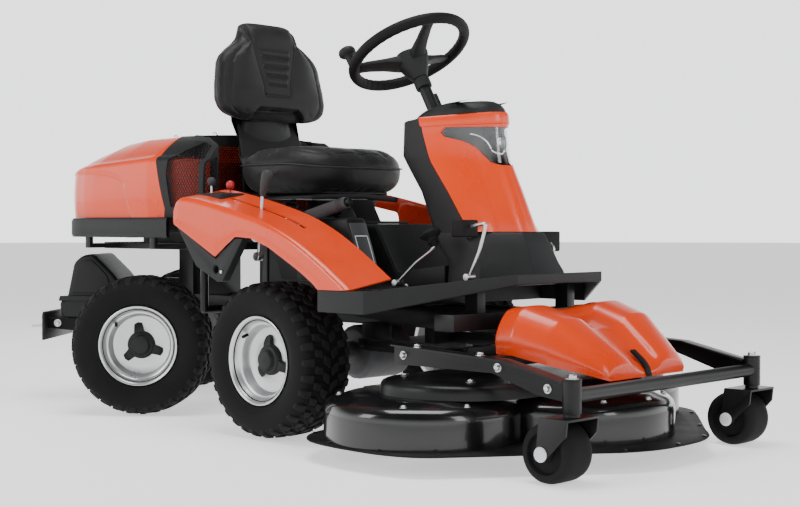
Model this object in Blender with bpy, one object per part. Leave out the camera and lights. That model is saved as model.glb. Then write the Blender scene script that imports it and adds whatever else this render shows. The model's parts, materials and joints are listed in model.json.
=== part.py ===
"""Front-deck articulated riding mower. Metres, +X forward, +Y to the machine's left, +Z up.

Everything is modelled driving straight ahead, with the front axle at x = 0 and the ground at z = 0.
The last lines turn the rear carriage and the steering wheel to their resting angles, and move the
whole machine so that its bounding box stands centred on the world's origin.
"""

import math

import bmesh
import bpy
from mathutils import Matrix, Quaternion, Vector

# ---------------------------------------------------------------- driving sizes
GAP = 0.0003                 # between pieces that touch
WHEELBASE = 0.887
TRACK = 0.712                # between the wheels' centre planes
TYRE_RADIUS = 0.2035
TYRE_WIDTH = 0.170
TYRE_WALL = 0.012
RIM_RADIUS = 0.1155          # rim flange
BEAD_RADIUS = 0.1015
RIM_WALL = 0.004
HUB_RADIUS = 0.032
HUB_BORE = 0.0130
STUB_RADIUS = 0.0122
WHEEL_SIDES = 20             # a multiple of four, so that a flat stands on the ground

GEARBOX_RADIUS = 0.075
GEARBOX_WIDTH = 0.170
AXLE_TUBE = 0.030
RAIL_DEPTH = 0.055
RAIL_WIDTH = 0.040
RAIL_OUT = 0.095             # outer face of a frame rail from the centre plane
RAIL_CLEAR = 0.0065          # gearbox to rail
FRAME_TUBE = 0.011

PIVOT_AHEAD = 0.082          # articulation pivot ahead of the rear axle
PIVOT_PIN = 0.015
PIN_PLAY = 0.0015
PIVOT_LUG = 0.034
STEER_ANGLE = math.radians(40.4)
STEERING_RATIO = -8.0        # steering wheel turns per turn of the rear carriage

RING_CENTRE = Vector((0.133, 0.0, 1.0215))
RING_RADIUS = 0.160
RING_THICK = 0.0155
RING_TILT = math.radians(29.5)
COLUMN_TUBE = 0.0165
COLUMN_PLAY = 0.0035
HUB_DROP = 0.085             # ring plane down to the foot of the steering boss
COLUMN_LENGTH = 0.330
KNOB_AT = -165.0            # spokes' places on the ring, in degrees, 0 at its front
OTHER_SPOKES = (55.0, -57.0)
REST_TURN = STEER_ANGLE * STEERING_RATIO

SKIN = 0.004                 # moulded panels
SEAT_HALF_WIDTH = 0.225
SEAT_LENGTH = 0.400
SEAT_FRONT = -0.015
CUSHION_DEPTH = 0.122
BACK_THICKNESS = 0.072
PLATE = 0.0105               # seat plate and seat pan
HOUSING_HALF = 0.120         # rear housing

DECK_LOBE = 0.240            # radius of a blade chamber
SIDE_SPINDLE = (0.495, 0.330)
MID_SPINDLE_X = 0.690
MID_LOBE = 0.245
BLADE_LENGTH = 0.374
SPINDLE_RADIUS = 0.0125
SPINDLE_PLAY = 0.0015
DECK_SKIN = 0.003
DECK_TOP = 0.155
DECK_LIP = 0.045             # underside of the skirt
BELT_COVER_TOP = 0.190
BLADE_HEIGHT = 0.068
PULLEY_RADIUS = 0.055

CASTER_X = 0.964
CASTER_Y = 0.374
CASTER_TRAIL = 0.039
CASTER_RADIUS = 0.067
CASTER_HALF_WIDTH = 0.047
CASTER_PIN = 0.006
STEM_RADIUS = 0.0115
STEM_PLAY = 0.0012
HOUSING_RADIUS = 0.021
HOUSING_LOW = 0.152
HOUSING_TOP = 0.222
CROSS_TUBE = 0.016
CASTER_BAR_Z = 0.190
DECK_PIVOT = (0.130, 0.240)
LIFT_PIN = 0.008
LIFT_PIN_PLAY = 0.0006

# ---------------------------------------------------------------- derived places
REAR = -WHEELBASE
PIVOT_X = REAR + PIVOT_AHEAD
TOW_X = PIVOT_X - 0.445
AXLE_Z = TYRE_RADIUS
FRAME_LOW = AXLE_Z + GEARBOX_RADIUS + RAIL_CLEAR
FRAME_TOP = FRAME_LOW + RAIL_DEPTH
HALF_TRACK = TRACK / 2
BODY_OUT = HALF_TRACK + TYRE_WIDTH / 2
FENDER_IN = HALF_TRACK - TYRE_WIDTH / 2 + 0.020
LIFT_LEVER_Y = -(FENDER_IN - 0.029)
COLUMN_AXIS = Vector((-math.sin(RING_TILT), 0.0, math.cos(RING_TILT)))
TUNNEL_HALF = 0.130
TUNNEL_TOP = FRAME_TOP + 0.216
BED_LOW = FRAME_TOP + 0.140
BED_TOP = FRAME_TOP + 0.160
SKIRT_LOW = FRAME_TOP + 0.175
SKIRT_TOP = FRAME_TOP + 0.235
SKIRT_OUT = 0.342
SKIRT_WALL = 0.012
SKIRT_REAR = REAR - 0.182
SKIRT_FRONT = REAR + 0.385
HOOD_HINGE = Vector((SKIRT_REAR - 0.004, 0.0, SKIRT_TOP + 0.003))
PLATE_TOP_REAR = 0.055       # footplate's top above the frame, rear and front
PLATE_TOP_FRONT = 0.095
PLATE_REAR_X = 0.240
PLATE_BEND_X = 0.400
PLATE_FRONT_X = 0.650
PLATE_NOSE_HALF = 0.170
PLATE_LIP = 0.025
SEAT_PLATE_LOW = FRAME_TOP + 0.2875
SEAT_HINGE = Vector((-0.060, 0.0, SEAT_PLATE_LOW - 0.0080))
PAN_LOW = SEAT_PLATE_LOW + PLATE + GAP
CUSHION_LOW = PAN_LOW + PLATE + GAP
ARM_Y = CASTER_Y - 0.004
ARM_LOW = 0.2225

PI = math.pi


# ---------------------------------------------------------------- shapes
def prism(outline, axis, low, high):
    """An outline in the plane square to an axis, extruded between two places on that axis."""
    place = {
        "x": lambda a, b, c: (c, a, b),
        "y": lambda a, b, c: (a, c, b),
        "z": lambda a, b, c: (a, b, c),
    }[axis]
    return loft([[place(a, b, c) for a, b in outline] for c in (low, high)])


def loft(rings):
    """A closed solid through rings with the same number of points, its two ends capped."""
    count = len(rings[0])
    points = [point for ring in rings for point in ring]
    faces = [list(range(count)), list(range(len(points) - count, len(points)))]
    for start in range(0, len(points) - count, count):
        for i in range(count):
            j = (i + 1) % count
            faces.append([start + i, start + j, start + count + j, start + count + i])
    return points, faces


def block(low, high):
    outline = [(low[0], low[1]), (high[0], low[1]), (high[0], high[1]), (low[0], high[1])]
    return prism(outline, "z", low[2], high[2])


def frame_along(axis):
    """Two unit vectors square to an axis and to each other."""
    axis = Vector(axis).normalized()
    side = axis.cross(Vector((0, 0, 1)) if abs(axis.z) < 0.9 else Vector((1, 0, 0))).normalized()
    return side, axis.cross(side).normalized(), axis


def turned(profile, centre, axis, sides, phase=0.0):
    """A profile of (radius, height) turned round an axis. It is a loop, or runs from axis to axis."""
    side, up, along = frame_along(axis)
    centre = Vector(centre)
    points = []
    rings = []
    for radius, height in profile:
        first = len(points)
        if radius == 0:
            points.append(tuple(centre + along * height))
            rings.append([first] * sides)
            continue
        for i in range(sides):
            angle = 2 * PI * i / sides + phase
            out = side * math.cos(angle) + up * math.sin(angle)
            points.append(tuple(centre + along * height + out * radius))
        rings.append([first + i for i in range(sides)])
    pairs = list(zip(rings, rings[1:]))
    if profile[0][0] > 0:
        pairs.append((rings[-1], rings[0]))
    faces = []
    for lower, upper in pairs:
        for i in range(sides):
            j = (i + 1) % sides
            corners = [lower[i], lower[j], upper[j], upper[i]]
            faces.append(list(dict.fromkeys(corners)))
    return points, faces


def rod(start, end, radius, sides=12, phase=0.0):
    start, end = Vector(start), Vector(end)
    length = (end - start).length
    return turned([(0, 0), (radius, 0), (radius, length), (0, length)], start, end - start, sides, phase)


def pipe(path, radius, sides=8):
    """A round bar swept along a path, its ends flat."""
    path = [Vector(point) for point in path]
    side, up, _ = frame_along(path[1] - path[0])
    rings = []
    for i, point in enumerate(path):
        ahead = (path[min(i + 1, len(path) - 1)] - path[max(i - 1, 0)]).normalized()
        side = (side - ahead * side.dot(ahead)).normalized()
        up = ahead.cross(side).normalized()
        angles = [2 * PI * k / sides for k in range(sides)]
        rings.append([tuple(point + (side * math.cos(a) + up * math.sin(a)) * radius) for a in angles])
    return loft(rings)


def coil(foot, height, radius, wire, turns, steps, sides):
    """A compression spring standing on its foot, its axis along Z."""
    path = []
    rise = height - 2 * wire
    for i in range(turns * steps + 1):
        angle = 2 * PI * i / steps
        level = wire + rise * i / (turns * steps)
        path.append((foot[0] + radius * math.cos(angle), foot[1] + radius * math.sin(angle), foot[2] + level))
    return pipe(path, wire, sides)


def oval(centre, half_x, half_y, level, power, count):
    """A superellipse in a horizontal plane."""
    ring = []
    for i in range(count):
        angle = 2 * PI * (i + 0.5) / count
        c, s = math.cos(angle), math.sin(angle)
        x = centre[0] + half_x * math.copysign(abs(c) ** (2 / power), c)
        y = centre[1] + half_y * math.copysign(abs(s) ** (2 / power), s)
        ring.append((x, y, level))
    return ring


def arc(centre, radius, first, last, count):
    angles = [math.radians(first + (last - first) * i / (count - 1)) for i in range(count)]
    return [(centre[0] + radius * math.cos(a), centre[1] + radius * math.sin(a)) for a in angles]


# ---------------------------------------------------------------- objects
MATERIALS = {}
STRAIGHT = {}                # each empty's place while the machine points straight ahead

PAINTS = {
    "orange": ((0.80, 0.085, 0.008), 0.32, 0.0),
    "dark_plastic": ((0.030, 0.031, 0.033), 0.62, 0.0),
    "black_steel": ((0.014, 0.014, 0.015), 0.45, 0.6),
    "deck_black": ((0.018, 0.018, 0.019), 0.25, 0.3),
    "vinyl": ((0.012, 0.012, 0.013), 0.55, 0.0),
    "rubber": ((0.014, 0.014, 0.014), 0.80, 0.0),
    "silver": ((0.62, 0.63, 0.64), 0.35, 0.9),
    "cast": ((0.16, 0.16, 0.17), 0.60, 0.7),
    "grip_grey": ((0.055, 0.056, 0.058), 0.60, 0.0),
    "red": ((0.42, 0.012, 0.014), 0.40, 0.0),
    "lens": ((0.75, 0.78, 0.80), 0.08, 0.0),
}


def paint(name):
    if name not in MATERIALS:
        colour, roughness, metallic = PAINTS[name]
        material = bpy.data.materials.new(name)
        material.use_nodes = True
        shader = material.node_tree.nodes["Principled BSDF"]
        shader.inputs["Base Color"].default_value = (*colour, 1.0)
        shader.inputs["Roughness"].default_value = roughness
        shader.inputs["Metallic"].default_value = metallic
        MATERIALS[name] = material
    return MATERIALS[name]


def object_of(name, shape, parent):
    points, faces = shape
    mesh = bpy.data.meshes.new(name)
    mesh.from_pydata([tuple(point) for point in points], [], faces)
    work = bmesh.new()
    work.from_mesh(mesh)
    bmesh.ops.recalc_face_normals(work, faces=work.faces)
    work.to_mesh(mesh)
    work.free()
    obj = bpy.data.objects.new(name, mesh)
    bpy.context.scene.collection.objects.link(obj)
    obj.parent = parent
    obj.matrix_parent_inverse = STRAIGHT[parent.name].inverted()
    return obj


def solid(name, parent, look, shapes, cuts=(), solver="EXACT"):
    """One node: the first shape, with the others joined to it and the cuts taken from it."""
    obj = object_of(name, shapes[0], parent)
    obj.data.materials.append(paint(look))
    obj.data.shade_smooth()
    obj.data.set_sharp_from_angle(angle=math.radians(32))
    helpers = [("UNION", shape) for shape in shapes[1:]] + [("DIFFERENCE", shape) for shape in cuts]
    for number, (operation, shape) in enumerate(helpers):
        helper = object_of(f"{name}_helper_{number}", shape, parent)
        helper.hide_render = True
        helper.display_type = "WIRE"
        boolean = obj.modifiers.new(f"{operation.lower()}_{number}", "BOOLEAN")
        boolean.operation = operation
        boolean.solver = solver
        boolean.object = helper
    return obj


def joint(name, parent, place, axis=(0, 0, 1)):
    """An empty on a moving piece's axis, its own Z along that axis."""
    empty = bpy.data.objects.new(name, None)
    bpy.context.scene.collection.objects.link(empty)
    turn = Vector(axis).normalized().to_track_quat("Z", "Y")
    STRAIGHT[name] = Matrix.Translation(Vector(place)) @ turn.to_matrix().to_4x4()
    empty.rotation_mode = "QUATERNION"
    empty.empty_display_size = 0.05
    local = STRAIGHT[parent.name].inverted() @ STRAIGHT[name] if parent else STRAIGHT[name]
    empty.parent = parent
    empty.location = local.to_translation()
    empty.rotation_quaternion = local.to_quaternion()
    return empty


def turn_joint(empty, angle):
    empty.rotation_quaternion = empty.rotation_quaternion @ Quaternion((0, 0, 1), angle)


# ---------------------------------------------------------------- wheels
def tyre_profile():
    half = TYRE_WIDTH / 2
    tread = TYRE_RADIUS / math.cos(PI / WHEEL_SIDES)
    seat = BEAD_RADIUS + 0.0008
    bead = half - 0.0200
    outer = [(seat, bead), (RIM_RADIUS + 0.0010, bead + 0.0028), (BEAD_RADIUS + 0.048, half)]
    outer += [(TYRE_RADIUS - 0.020, half - 0.006), (tread, half - 0.026)]
    inner = [(tread - TYRE_WALL, half - 0.034), (BEAD_RADIUS + 0.040, half - TYRE_WALL)]
    inner.append((seat + 0.009, bead - 0.006))
    right = outer + [(radius, -place) for radius, place in reversed(outer)]
    return right + [(radius, -place) for radius, place in reversed(inner)] + inner


def rim_profile():
    flange = TYRE_WIDTH / 2 - 0.0120
    seat = flange - 0.0070
    well = BEAD_RADIUS - 0.0125
    outer = [(RIM_RADIUS, flange), (RIM_RADIUS, flange - 0.0040), (BEAD_RADIUS, seat), (well, 0.042)]
    loop = outer + [(radius, -place) for radius, place in reversed(outer)]
    loop += [(BEAD_RADIUS - RIM_WALL, -flange + 0.003), (well - RIM_WALL, -0.040), (well - RIM_WALL, -0.004)]
    loop += [(HUB_BORE, -0.004), (HUB_BORE, 0.022), (HUB_RADIUS, 0.022), (HUB_RADIUS, 0.002)]
    loop += [(well - RIM_WALL, 0.002), (well - RIM_WALL, 0.040), (BEAD_RADIUS - RIM_WALL, flange - 0.003)]
    return loop


def wheel(name, parent, x, side):
    centre = (x, side * HALF_TRACK, AXLE_Z)
    spin = joint(f"{name}_wheel_spin", parent, centre, (0, 1, 0))
    out = (0, side, 0)
    phase = PI / WHEEL_SIDES
    solid(f"{name}_tyre", spin, "rubber", [turned(tyre_profile(), centre, out, WHEEL_SIDES, phase)])
    solid(f"{name}_rim", spin, "silver", [turned(rim_profile(), centre, out, WHEEL_SIDES, phase)])


def axle(x):
    """A transaxle: gearbox, two tubes and a stub through each hub, turned as one bar."""
    half = HALF_TRACK - 0.0045
    tip = HALF_TRACK + 0.027
    box = GEARBOX_WIDTH / 2
    right = [(GEARBOX_RADIUS, box - 0.012), (GEARBOX_RADIUS - 0.014, box), (AXLE_TUBE, box)]
    right += [(AXLE_TUBE, half), (STUB_RADIUS, half), (STUB_RADIUS, tip), (0, tip)]
    profile = [(radius, -place) for radius, place in reversed(right)] + right
    return turned(profile, (x, 0, AXLE_Z), (0, 1, 0), WHEEL_SIDES, PI / WHEEL_SIDES)


# ---------------------------------------------------------------- chassis
def main_frame(parent):
    top, low = FRAME_TOP, FRAME_LOW
    shapes = [block((REAR + 0.120, -RAIL_OUT, low), (REAR + 0.190, RAIL_OUT, BED_LOW + 0.010))]
    for side in (1, -1):
        inner, outer = sorted((side * (RAIL_OUT - RAIL_WIDTH), side * RAIL_OUT))
        shapes.append(block((REAR + 0.180, inner, low), (0.560, outer, top)))
        lug = sorted((side * (RAIL_OUT - 0.010), side * 0.160))
        shapes.append(block((0.112, lug[0], DECK_PIVOT[1] - 0.016), (0.148, lug[1], low + 0.010)))
        pin = [(DECK_PIVOT[0], side * 0.150, DECK_PIVOT[1]), (DECK_PIVOT[0], side * 0.186, DECK_PIVOT[1])]
        shapes.append(rod(*pin, LIFT_PIN))
        post = sorted((side * 0.165, side * 0.195))
        shapes.append(block((0.505, post[0], top - 0.020), (0.545, post[1], plate_top(0.505) - SKIN - 0.002)))
        upright_y = side * (BODY_OUT - 0.046)
        shapes.append(rod((-0.260, upright_y, top - 0.020), (-0.260, upright_y, top + 0.160), FRAME_TUBE))
        for x in (REAR - 0.030, REAR + 0.300):
            arm = sorted((side * 0.200, side * (SKIRT_OUT - SKIRT_WALL - GAP)))
            shapes.append(block((x - 0.012, arm[0], BED_LOW + 0.003), (x + 0.012, arm[1], BED_TOP - 0.003)))
            horn = sorted((side * (SKIRT_OUT - SKIRT_WALL - 0.012), side * (SKIRT_OUT - SKIRT_WALL - GAP)))
            shapes.append(block((x - 0.012, horn[0], BED_LOW + 0.004), (x + 0.012, horn[1], SKIRT_LOW + 0.030)))
    reach = BODY_OUT - 0.040
    shapes.append(rod((-0.260, -reach, top - 0.016), (-0.260, reach, top - 0.016), FRAME_TUBE))
    shapes.append(block((0.500, -0.300, top - 0.040), (0.562, 0.300, top)))
    shapes.append(block((SKIRT_REAR + 0.080, -0.220, BED_LOW), (SKIRT_FRONT + 0.065, 0.220, BED_TOP)))
    for level in (low + 0.005, top + 0.075):
        shapes.append(rod((PIVOT_X, 0, level), (PIVOT_X, 0, level + 0.016), PIVOT_LUG, 20))
        shapes.append(block((PIVOT_X, -PIVOT_LUG, level), (REAR + 0.130, PIVOT_LUG, level + 0.016)))
    shapes.append(block((-0.216, -0.232, top - 0.034), (-0.184, -0.060, top - 0.018)))
    shapes.append(block((-0.216, -0.236, top - 0.034), (-0.184, -0.228, top + 0.200)))
    pin_z = top + 0.185
    shapes.append(rod((-0.200, -0.232, pin_z), (-0.200, LIFT_LEVER_Y - 0.008, pin_z), LIFT_PIN))
    cuts = [rod((PIVOT_X, 0, low - 0.01), (PIVOT_X, 0, top + 0.12), PIVOT_PIN + PIN_PLAY, 20)]
    solid("main_frame", parent, "black_steel", shapes, cuts)


def engine(parent):
    base = BED_TOP + GAP
    shapes = [block((REAR - 0.020, -0.130, base), (REAR + 0.270, 0.130, base + 0.150))]
    for side in (1, -1):
        near, far = sorted((side * 0.120, side * 0.235))
        shapes.append(block((REAR + 0.080, near, base + 0.030), (REAR + 0.200, far, base + 0.120)))
    fan = (REAR + 0.140, 0, base + 0.140)
    shapes.append(rod(fan, (fan[0], 0, base + 0.205), 0.125, 20))
    shapes.append(rod((REAR - 0.080, -0.150, base + 0.060), (REAR - 0.080, 0.150, base + 0.060), 0.048, 16))
    shapes.append(block((REAR - 0.060, -0.020, base + 0.040), (REAR + 0.010, 0.020, base + 0.080)))
    solid("engine", parent, "cast", shapes)


def fuel_tank(parent):
    outer = FENDER_IN - 0.006
    low = FRAME_TOP + 0.075
    rings = []
    for level, shrink in ((0, 0.012), (0.012, 0), (0.118, 0), (0.130, 0.012)):
        centre = (-0.180, outer - 0.060)
        rings.append(oval(centre, 0.120 - shrink, 0.060 - shrink, low + level, 5, 16))
    neck = rod((-0.250, outer - 0.060, low + 0.120), (-0.250, outer - 0.060, low + 0.152), 0.028, 12)
    solid("fuel_tank", parent, "dark_plastic", [loft(rings), neck])


def body_skirt(parent):
    def outline(out, rear):
        corner = 0.120
        right = [(SKIRT_FRONT, -out), (rear + corner, -out), (rear + corner * 0.3, -out + corner * 0.3)]
        right += [(rear, -out + corner)]
        return right, [(x, -y) for x, y in reversed(right)]

    outer_right, outer_left = outline(SKIRT_OUT, SKIRT_REAR)
    inner_right, inner_left = outline(SKIRT_OUT - SKIRT_WALL, SKIRT_REAR + SKIRT_WALL)
    loop = outer_right + outer_left + list(reversed(inner_left)) + list(reversed(inner_right))
    solid("body_skirt", parent, "dark_plastic", [prism(loop, "z", SKIRT_LOW, SKIRT_TOP)])


FENDER_TOP = [(-0.335, 0.255), (-0.305, 0.286), (-0.165, 0.266), (0.020, 0.222), (0.130, 0.182)]
FENDER_TOP += [(0.225, 0.132), (0.300, 0.085), (0.345, 0.0553)]
FENDER_LOW = [(0.2450, 0.0553), (0.224, 0.072), (0.180, 0.098), (0.137, 0.120), (0.060, 0.158)]
FENDER_LOW += [(-0.010, 0.181), (-0.075, 0.184), (-0.155, 0.130), (-0.330, 0.216)]
FENDER_RISE = 0.022          # how much higher the fender's inner edge is


def fender(name, parent, side, cuts=()):
    def ring(y, rise, thinner, deeper):
        top = [(x - thinner * 0.5, side * y, FRAME_TOP + z + rise - thinner) for x, z in FENDER_TOP]
        low = [(x, side * y, FRAME_TOP + z - deeper) for x, z in FENDER_LOW]
        if thinner:
            top[0] = (top[0][0] + thinner * 1.5, top[0][1], top[0][2])
            low[-1] = (low[-1][0] + thinner, low[-1][1], low[-1][2])
            top[-1] = (top[-1][0] - thinner, top[-1][1], top[-1][2])
        return top + low

    shell = loft([ring(BODY_OUT, 0, 0, 0), ring(FENDER_IN, FENDER_RISE, 0, 0)])
    slope = FENDER_RISE / (BODY_OUT - FENDER_IN)
    hollow = loft([
        ring(BODY_OUT - SKIN, slope * SKIN, SKIN, 0.100),
        ring(FENDER_IN - 0.010, FENDER_RISE + slope * 0.010, SKIN, 0.100),
    ])
    solid(name, parent, "orange", [shell], [hollow, *cuts])


def lower_panel(name, parent, side):
    outline = [(-0.3270, 0.2135), (-0.1560, 0.1245), (-0.0770, 0.1790), (-0.0440, 0.1790)]
    outline += [(-0.1280, 0.0650), (-0.1500, 0.0630), (-0.2400, 0.1030)]
    outline = [(x, FRAME_TOP + z) for x, z in outline]
    near, far = sorted((side * (BODY_OUT - 0.001), side * (BODY_OUT - 0.026)))
    hole = rod((-0.155, near - 0.01, FRAME_TOP + 0.096), (-0.155, far + 0.01, FRAME_TOP + 0.096), 0.011)
    solid(name, parent, "dark_plastic", [prism(outline, "y", near, far)], [hole])


def plate_top(x):
    """Height of the footplate's upper face."""
    run = min(max((x - PLATE_BEND_X) / (PLATE_FRONT_X - PLATE_BEND_X), 0), 1)
    return FRAME_TOP + PLATE_TOP_REAR + (PLATE_TOP_FRONT - PLATE_TOP_REAR) * run


def plate_low(x):
    run = min(max((x - PLATE_BEND_X) / (PLATE_FRONT_X - PLATE_BEND_X), 0), 1)
    return FRAME_TOP + GAP + (PLATE_TOP_FRONT - PLATE_LIP - GAP) * run


def footplate(parent):
    def stations(inset):
        """(x, half width) from rear to front."""
        out = BODY_OUT - inset
        nose = PLATE_NOSE_HALF - inset * 0.6
        front = PLATE_FRONT_X - inset
        return [(PLATE_REAR_X + inset, out), (PLATE_BEND_X, out), (front, nose)]

    def slab(inset, drop, sink):
        rings = []
        for x, half in stations(inset):
            high, low = plate_top(x) - drop, plate_low(x) - sink
            rings.append([(x, -half, low), (x, half, low), (x, half, high), (x, -half, high)])
        return loft(rings)

    solid("footplate", parent, "dark_plastic", [slab(0, 0, 0)], [slab(0.006, SKIN, 0.050)])


def tunnel(parent):
    low = FRAME_TOP + GAP * 2
    over = FRAME_TOP + PLATE_TOP_REAR + GAP
    front = PLATE_BEND_X - 0.020
    outline = [(-0.300, low), (PLATE_REAR_X - GAP, low), (PLATE_REAR_X - GAP, over), (front, over)]
    outline += [(front, over + 0.055), (0.215, over + 0.036), (0.140, TUNNEL_TOP), (-0.300, TUNNEL_TOP)]
    shell = prism(outline, "y", -TUNNEL_HALF, TUNNEL_HALF)
    inner = [(-0.310, low - 0.02), (PLATE_REAR_X - SKIN, low - 0.02), (PLATE_REAR_X - SKIN, over + 0.02)]
    inner += [(0.205, over + 0.030), (0.134, TUNNEL_TOP - SKIN), (-0.310, TUNNEL_TOP - SKIN)]
    hollow = prism(inner, "y", -TUNNEL_HALF + SKIN, TUNNEL_HALF - SKIN)
    solid("tunnel", parent, "dark_plastic", [shell], [hollow])


# The column's outline, level by level: height over the frame, rear, split and front x, half widths.
COLUMN = [
    (0.196, 0.315, 0.470, 0.556, 0.120, 0.140, 0.030),
    (0.300, 0.268, 0.395, 0.512, 0.118, 0.138, 0.026),
    (0.372, 0.215, 0.338, 0.480, 0.116, 0.136, 0.022),
    (0.395, 0.200, 0.326, 0.474, 0.116, 0.135, 0.022),
    (0.484, 0.200, 0.292, 0.464, 0.112, 0.132, 0.022),
]
SPLIT_GAP = 0.0006


def column_z(level, x):
    """Height of a level of the column. The top one rises towards the front."""
    rise = 0.07 * (x - COLUMN[level][1]) if level == len(COLUMN) - 1 else 0
    return FRAME_TOP + COLUMN[level][0] + rise


def cowl_ring(level, inset, back):
    _, rear, split, _, wide, middle, _ = COLUMN[level]
    split -= SPLIT_GAP / 2 if not back else -back
    rear += inset
    wide, middle = wide - inset, middle - inset
    right = [(split, -middle), (rear + 0.030, -wide), (rear, -wide + 0.040)]
    return [(x, y, column_z(level, x)) for x, y in right + [(x, -y) for x, y in reversed(right)]]


def cover_ring(level, inset, back):
    _, _, split, front, _, middle, nose = COLUMN[level]
    split += SPLIT_GAP / 2 if not back else -back
    front -= inset
    middle, nose = middle - inset, nose - inset * 0.5
    right = [(split, -middle), (front - 0.050, -nose - 0.040), (front, -nose + 0.008)]
    return [(x, y, column_z(level, x)) for x, y in right + [(x, -y) for x, y in reversed(right)]]


def shifted(ring, dz):
    return [(x, y, z + dz) for x, y, z in ring]


def column_bore(extra):
    """The steering tube's way down through the column."""
    foot = RING_CENTRE - COLUMN_AXIS * (HUB_DROP + COLUMN_LENGTH + 0.060)
    top = RING_CENTRE - COLUMN_AXIS * (HUB_DROP - 0.010)
    return rod(foot, top, COLUMN_TUBE + extra, 16)


def column_cowl(parent):
    def base_ring(height, rear, front, half, nose):
        def z(x):
            return FRAME_TOP + height

        right = [(rear, -half + 0.050), (rear + 0.040, -half), (rear + 0.130, -half), (front - 0.070, -nose - 0.030)]
        right += [(front, -nose + 0.020)]
        right = [(x, y, z(x)) for x, y in right]
        return right + [(x, -y, zz) for x, y, zz in reversed(right)]

    foot_rear = PLATE_BEND_X - 0.020 + 2 * GAP
    base = loft([
        base_ring(0.030, foot_rear, 0.630, 0.150, 0.090),
        base_ring(0.120, foot_rear, 0.600, 0.142, 0.075),
        base_ring(0.1955, 0.318, 0.562, 0.138, 0.062),
    ])
    levels = range(len(COLUMN))
    upper = loft([shifted(cowl_ring(0, 0, 0), -0.020)] + [cowl_ring(i, 0, 0) for i in levels])
    inner = [shifted(cowl_ring(0, SKIN, 0.020), -0.080)]
    inner += [cowl_ring(i, SKIN, 0.020) for i in levels[:-1]] + [shifted(cowl_ring(4, SKIN, 0.020), -SKIN)]
    hollow_base = loft([
        base_ring(0.010, foot_rear + 0.010, 0.615, 0.140, 0.080),
        base_ring(0.120, foot_rear + 0.010, 0.586, 0.130, 0.065),
        base_ring(0.185, 0.332, 0.550, 0.126, 0.052),
    ])
    under = [(0.2, FRAME_TOP), (0.7, FRAME_TOP), (0.7, plate_top(PLATE_FRONT_X) + 0.008)]
    under += [(PLATE_FRONT_X, plate_top(PLATE_FRONT_X) + GAP), (PLATE_BEND_X, plate_top(PLATE_BEND_X) + GAP)]
    under.append((0.2, plate_top(PLATE_BEND_X) + GAP))
    clear = column_bore(COLUMN_PLAY)
    screw = rod((0.320, -0.2, FRAME_TOP + 0.235), (0.320, -0.1, FRAME_TOP + 0.235), 0.009, 10)
    solid("column_cowl", parent, "dark_plastic", [base, upper],
          [prism(under, "y", -0.2, 0.2), hollow_base, loft(inner), clear, screw], "MANIFOLD")


LAMP_LOW, LAMP_HIGH = 0.380, 0.462


def lamp_block(grow, back):
    """The headlamp's wedge, wrapped round the column's nose."""
    rings = []
    for height, front in ((LAMP_LOW, 0.479), (LAMP_HIGH, 0.470)):
        z = FRAME_TOP + height + (grow if height > 0.4 else -grow)
        rear = back - grow
        right = [(rear, -0.088 - grow, z), (front - 0.047 + grow, -0.068 - grow, z), (front + grow, -0.016 - grow, z)]
        rings.append(right + [(x, -y, zz) for x, y, zz in reversed(right)])
    return loft(rings)


def column_cover(parent):
    levels = range(len(COLUMN))
    outer = loft([cover_ring(i, 0, 0) for i in levels])
    inner = [shifted(cover_ring(0, SKIN, 0.020), -0.010)] + [cover_ring(i, SKIN, 0.020) for i in levels[1:-1]]
    inner.append(shifted(cover_ring(4, SKIN, 0.020), -SKIN))
    lamp = lamp_block(0.0006, 0.400)
    solid("column_cover", parent, "orange", [outer], [loft(inner), lamp, column_bore(COLUMN_PLAY)])


def headlamp(parent):
    hollow = lamp_block(-0.0035, 0.380)
    front = [
        (x - 0.0005, y, z) for x, y, z in hollow[0]
    ]
    solid("headlamp_lens", parent, "lens", [lamp_block(0, 0.400)], [(front, hollow[1])])


def dash_cap(parent):
    def ring(rear, front, half, nose, height):
        right = [(rear, -half * 0.7), (rear + 0.040, -half), (front - 0.050, -nose - 0.020), (front, -nose + 0.015)]
        loop = right + [(x, -y) for x, y in reversed(right)]
        return [(x, y, column_z(len(COLUMN) - 1, x) + GAP + height) for x, y in loop]

    rings = [ring(0.225, 0.446, 0.104, 0.054, 0), ring(0.262, 0.432, 0.094, 0.046, 0.022)]
    rings.append(ring(0.330, 0.415, 0.080, 0.040, 0.034))
    solid("dash_cap", parent, "dark_plastic", [loft(rings)], [column_bore(COLUMN_PLAY)])


def seat_mount(parent):
    base = TUNNEL_TOP + GAP
    top = base + 0.008
    shapes = [block((-0.292, -0.125, base), (0.010, 0.125, top))]
    x, z = SEAT_HINGE.x, SEAT_HINGE.z
    riser = [(x - 0.040, top - 0.002), (x + 0.040, top - 0.002), (x + 0.003, z + 0.0055), (x - 0.014, z + 0.006)]
    shapes.append(prism(riser, "y", -0.045, 0.045))
    shapes.append(rod((x, -0.061, z), (x, 0.061, z), 0.0060))
    solid("seat_bracket", parent, "black_steel", shapes)
    for name, side in (("right", -1), ("left", 1)):
        foot = (-0.245, side * 0.095, top + GAP)
        height = SEAT_PLATE_LOW - GAP - foot[2]
        solid(f"seat_spring_{name}", parent, "black_steel", [coil(foot, height, 0.021, 0.0042, 3, 8, 5)])


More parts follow.
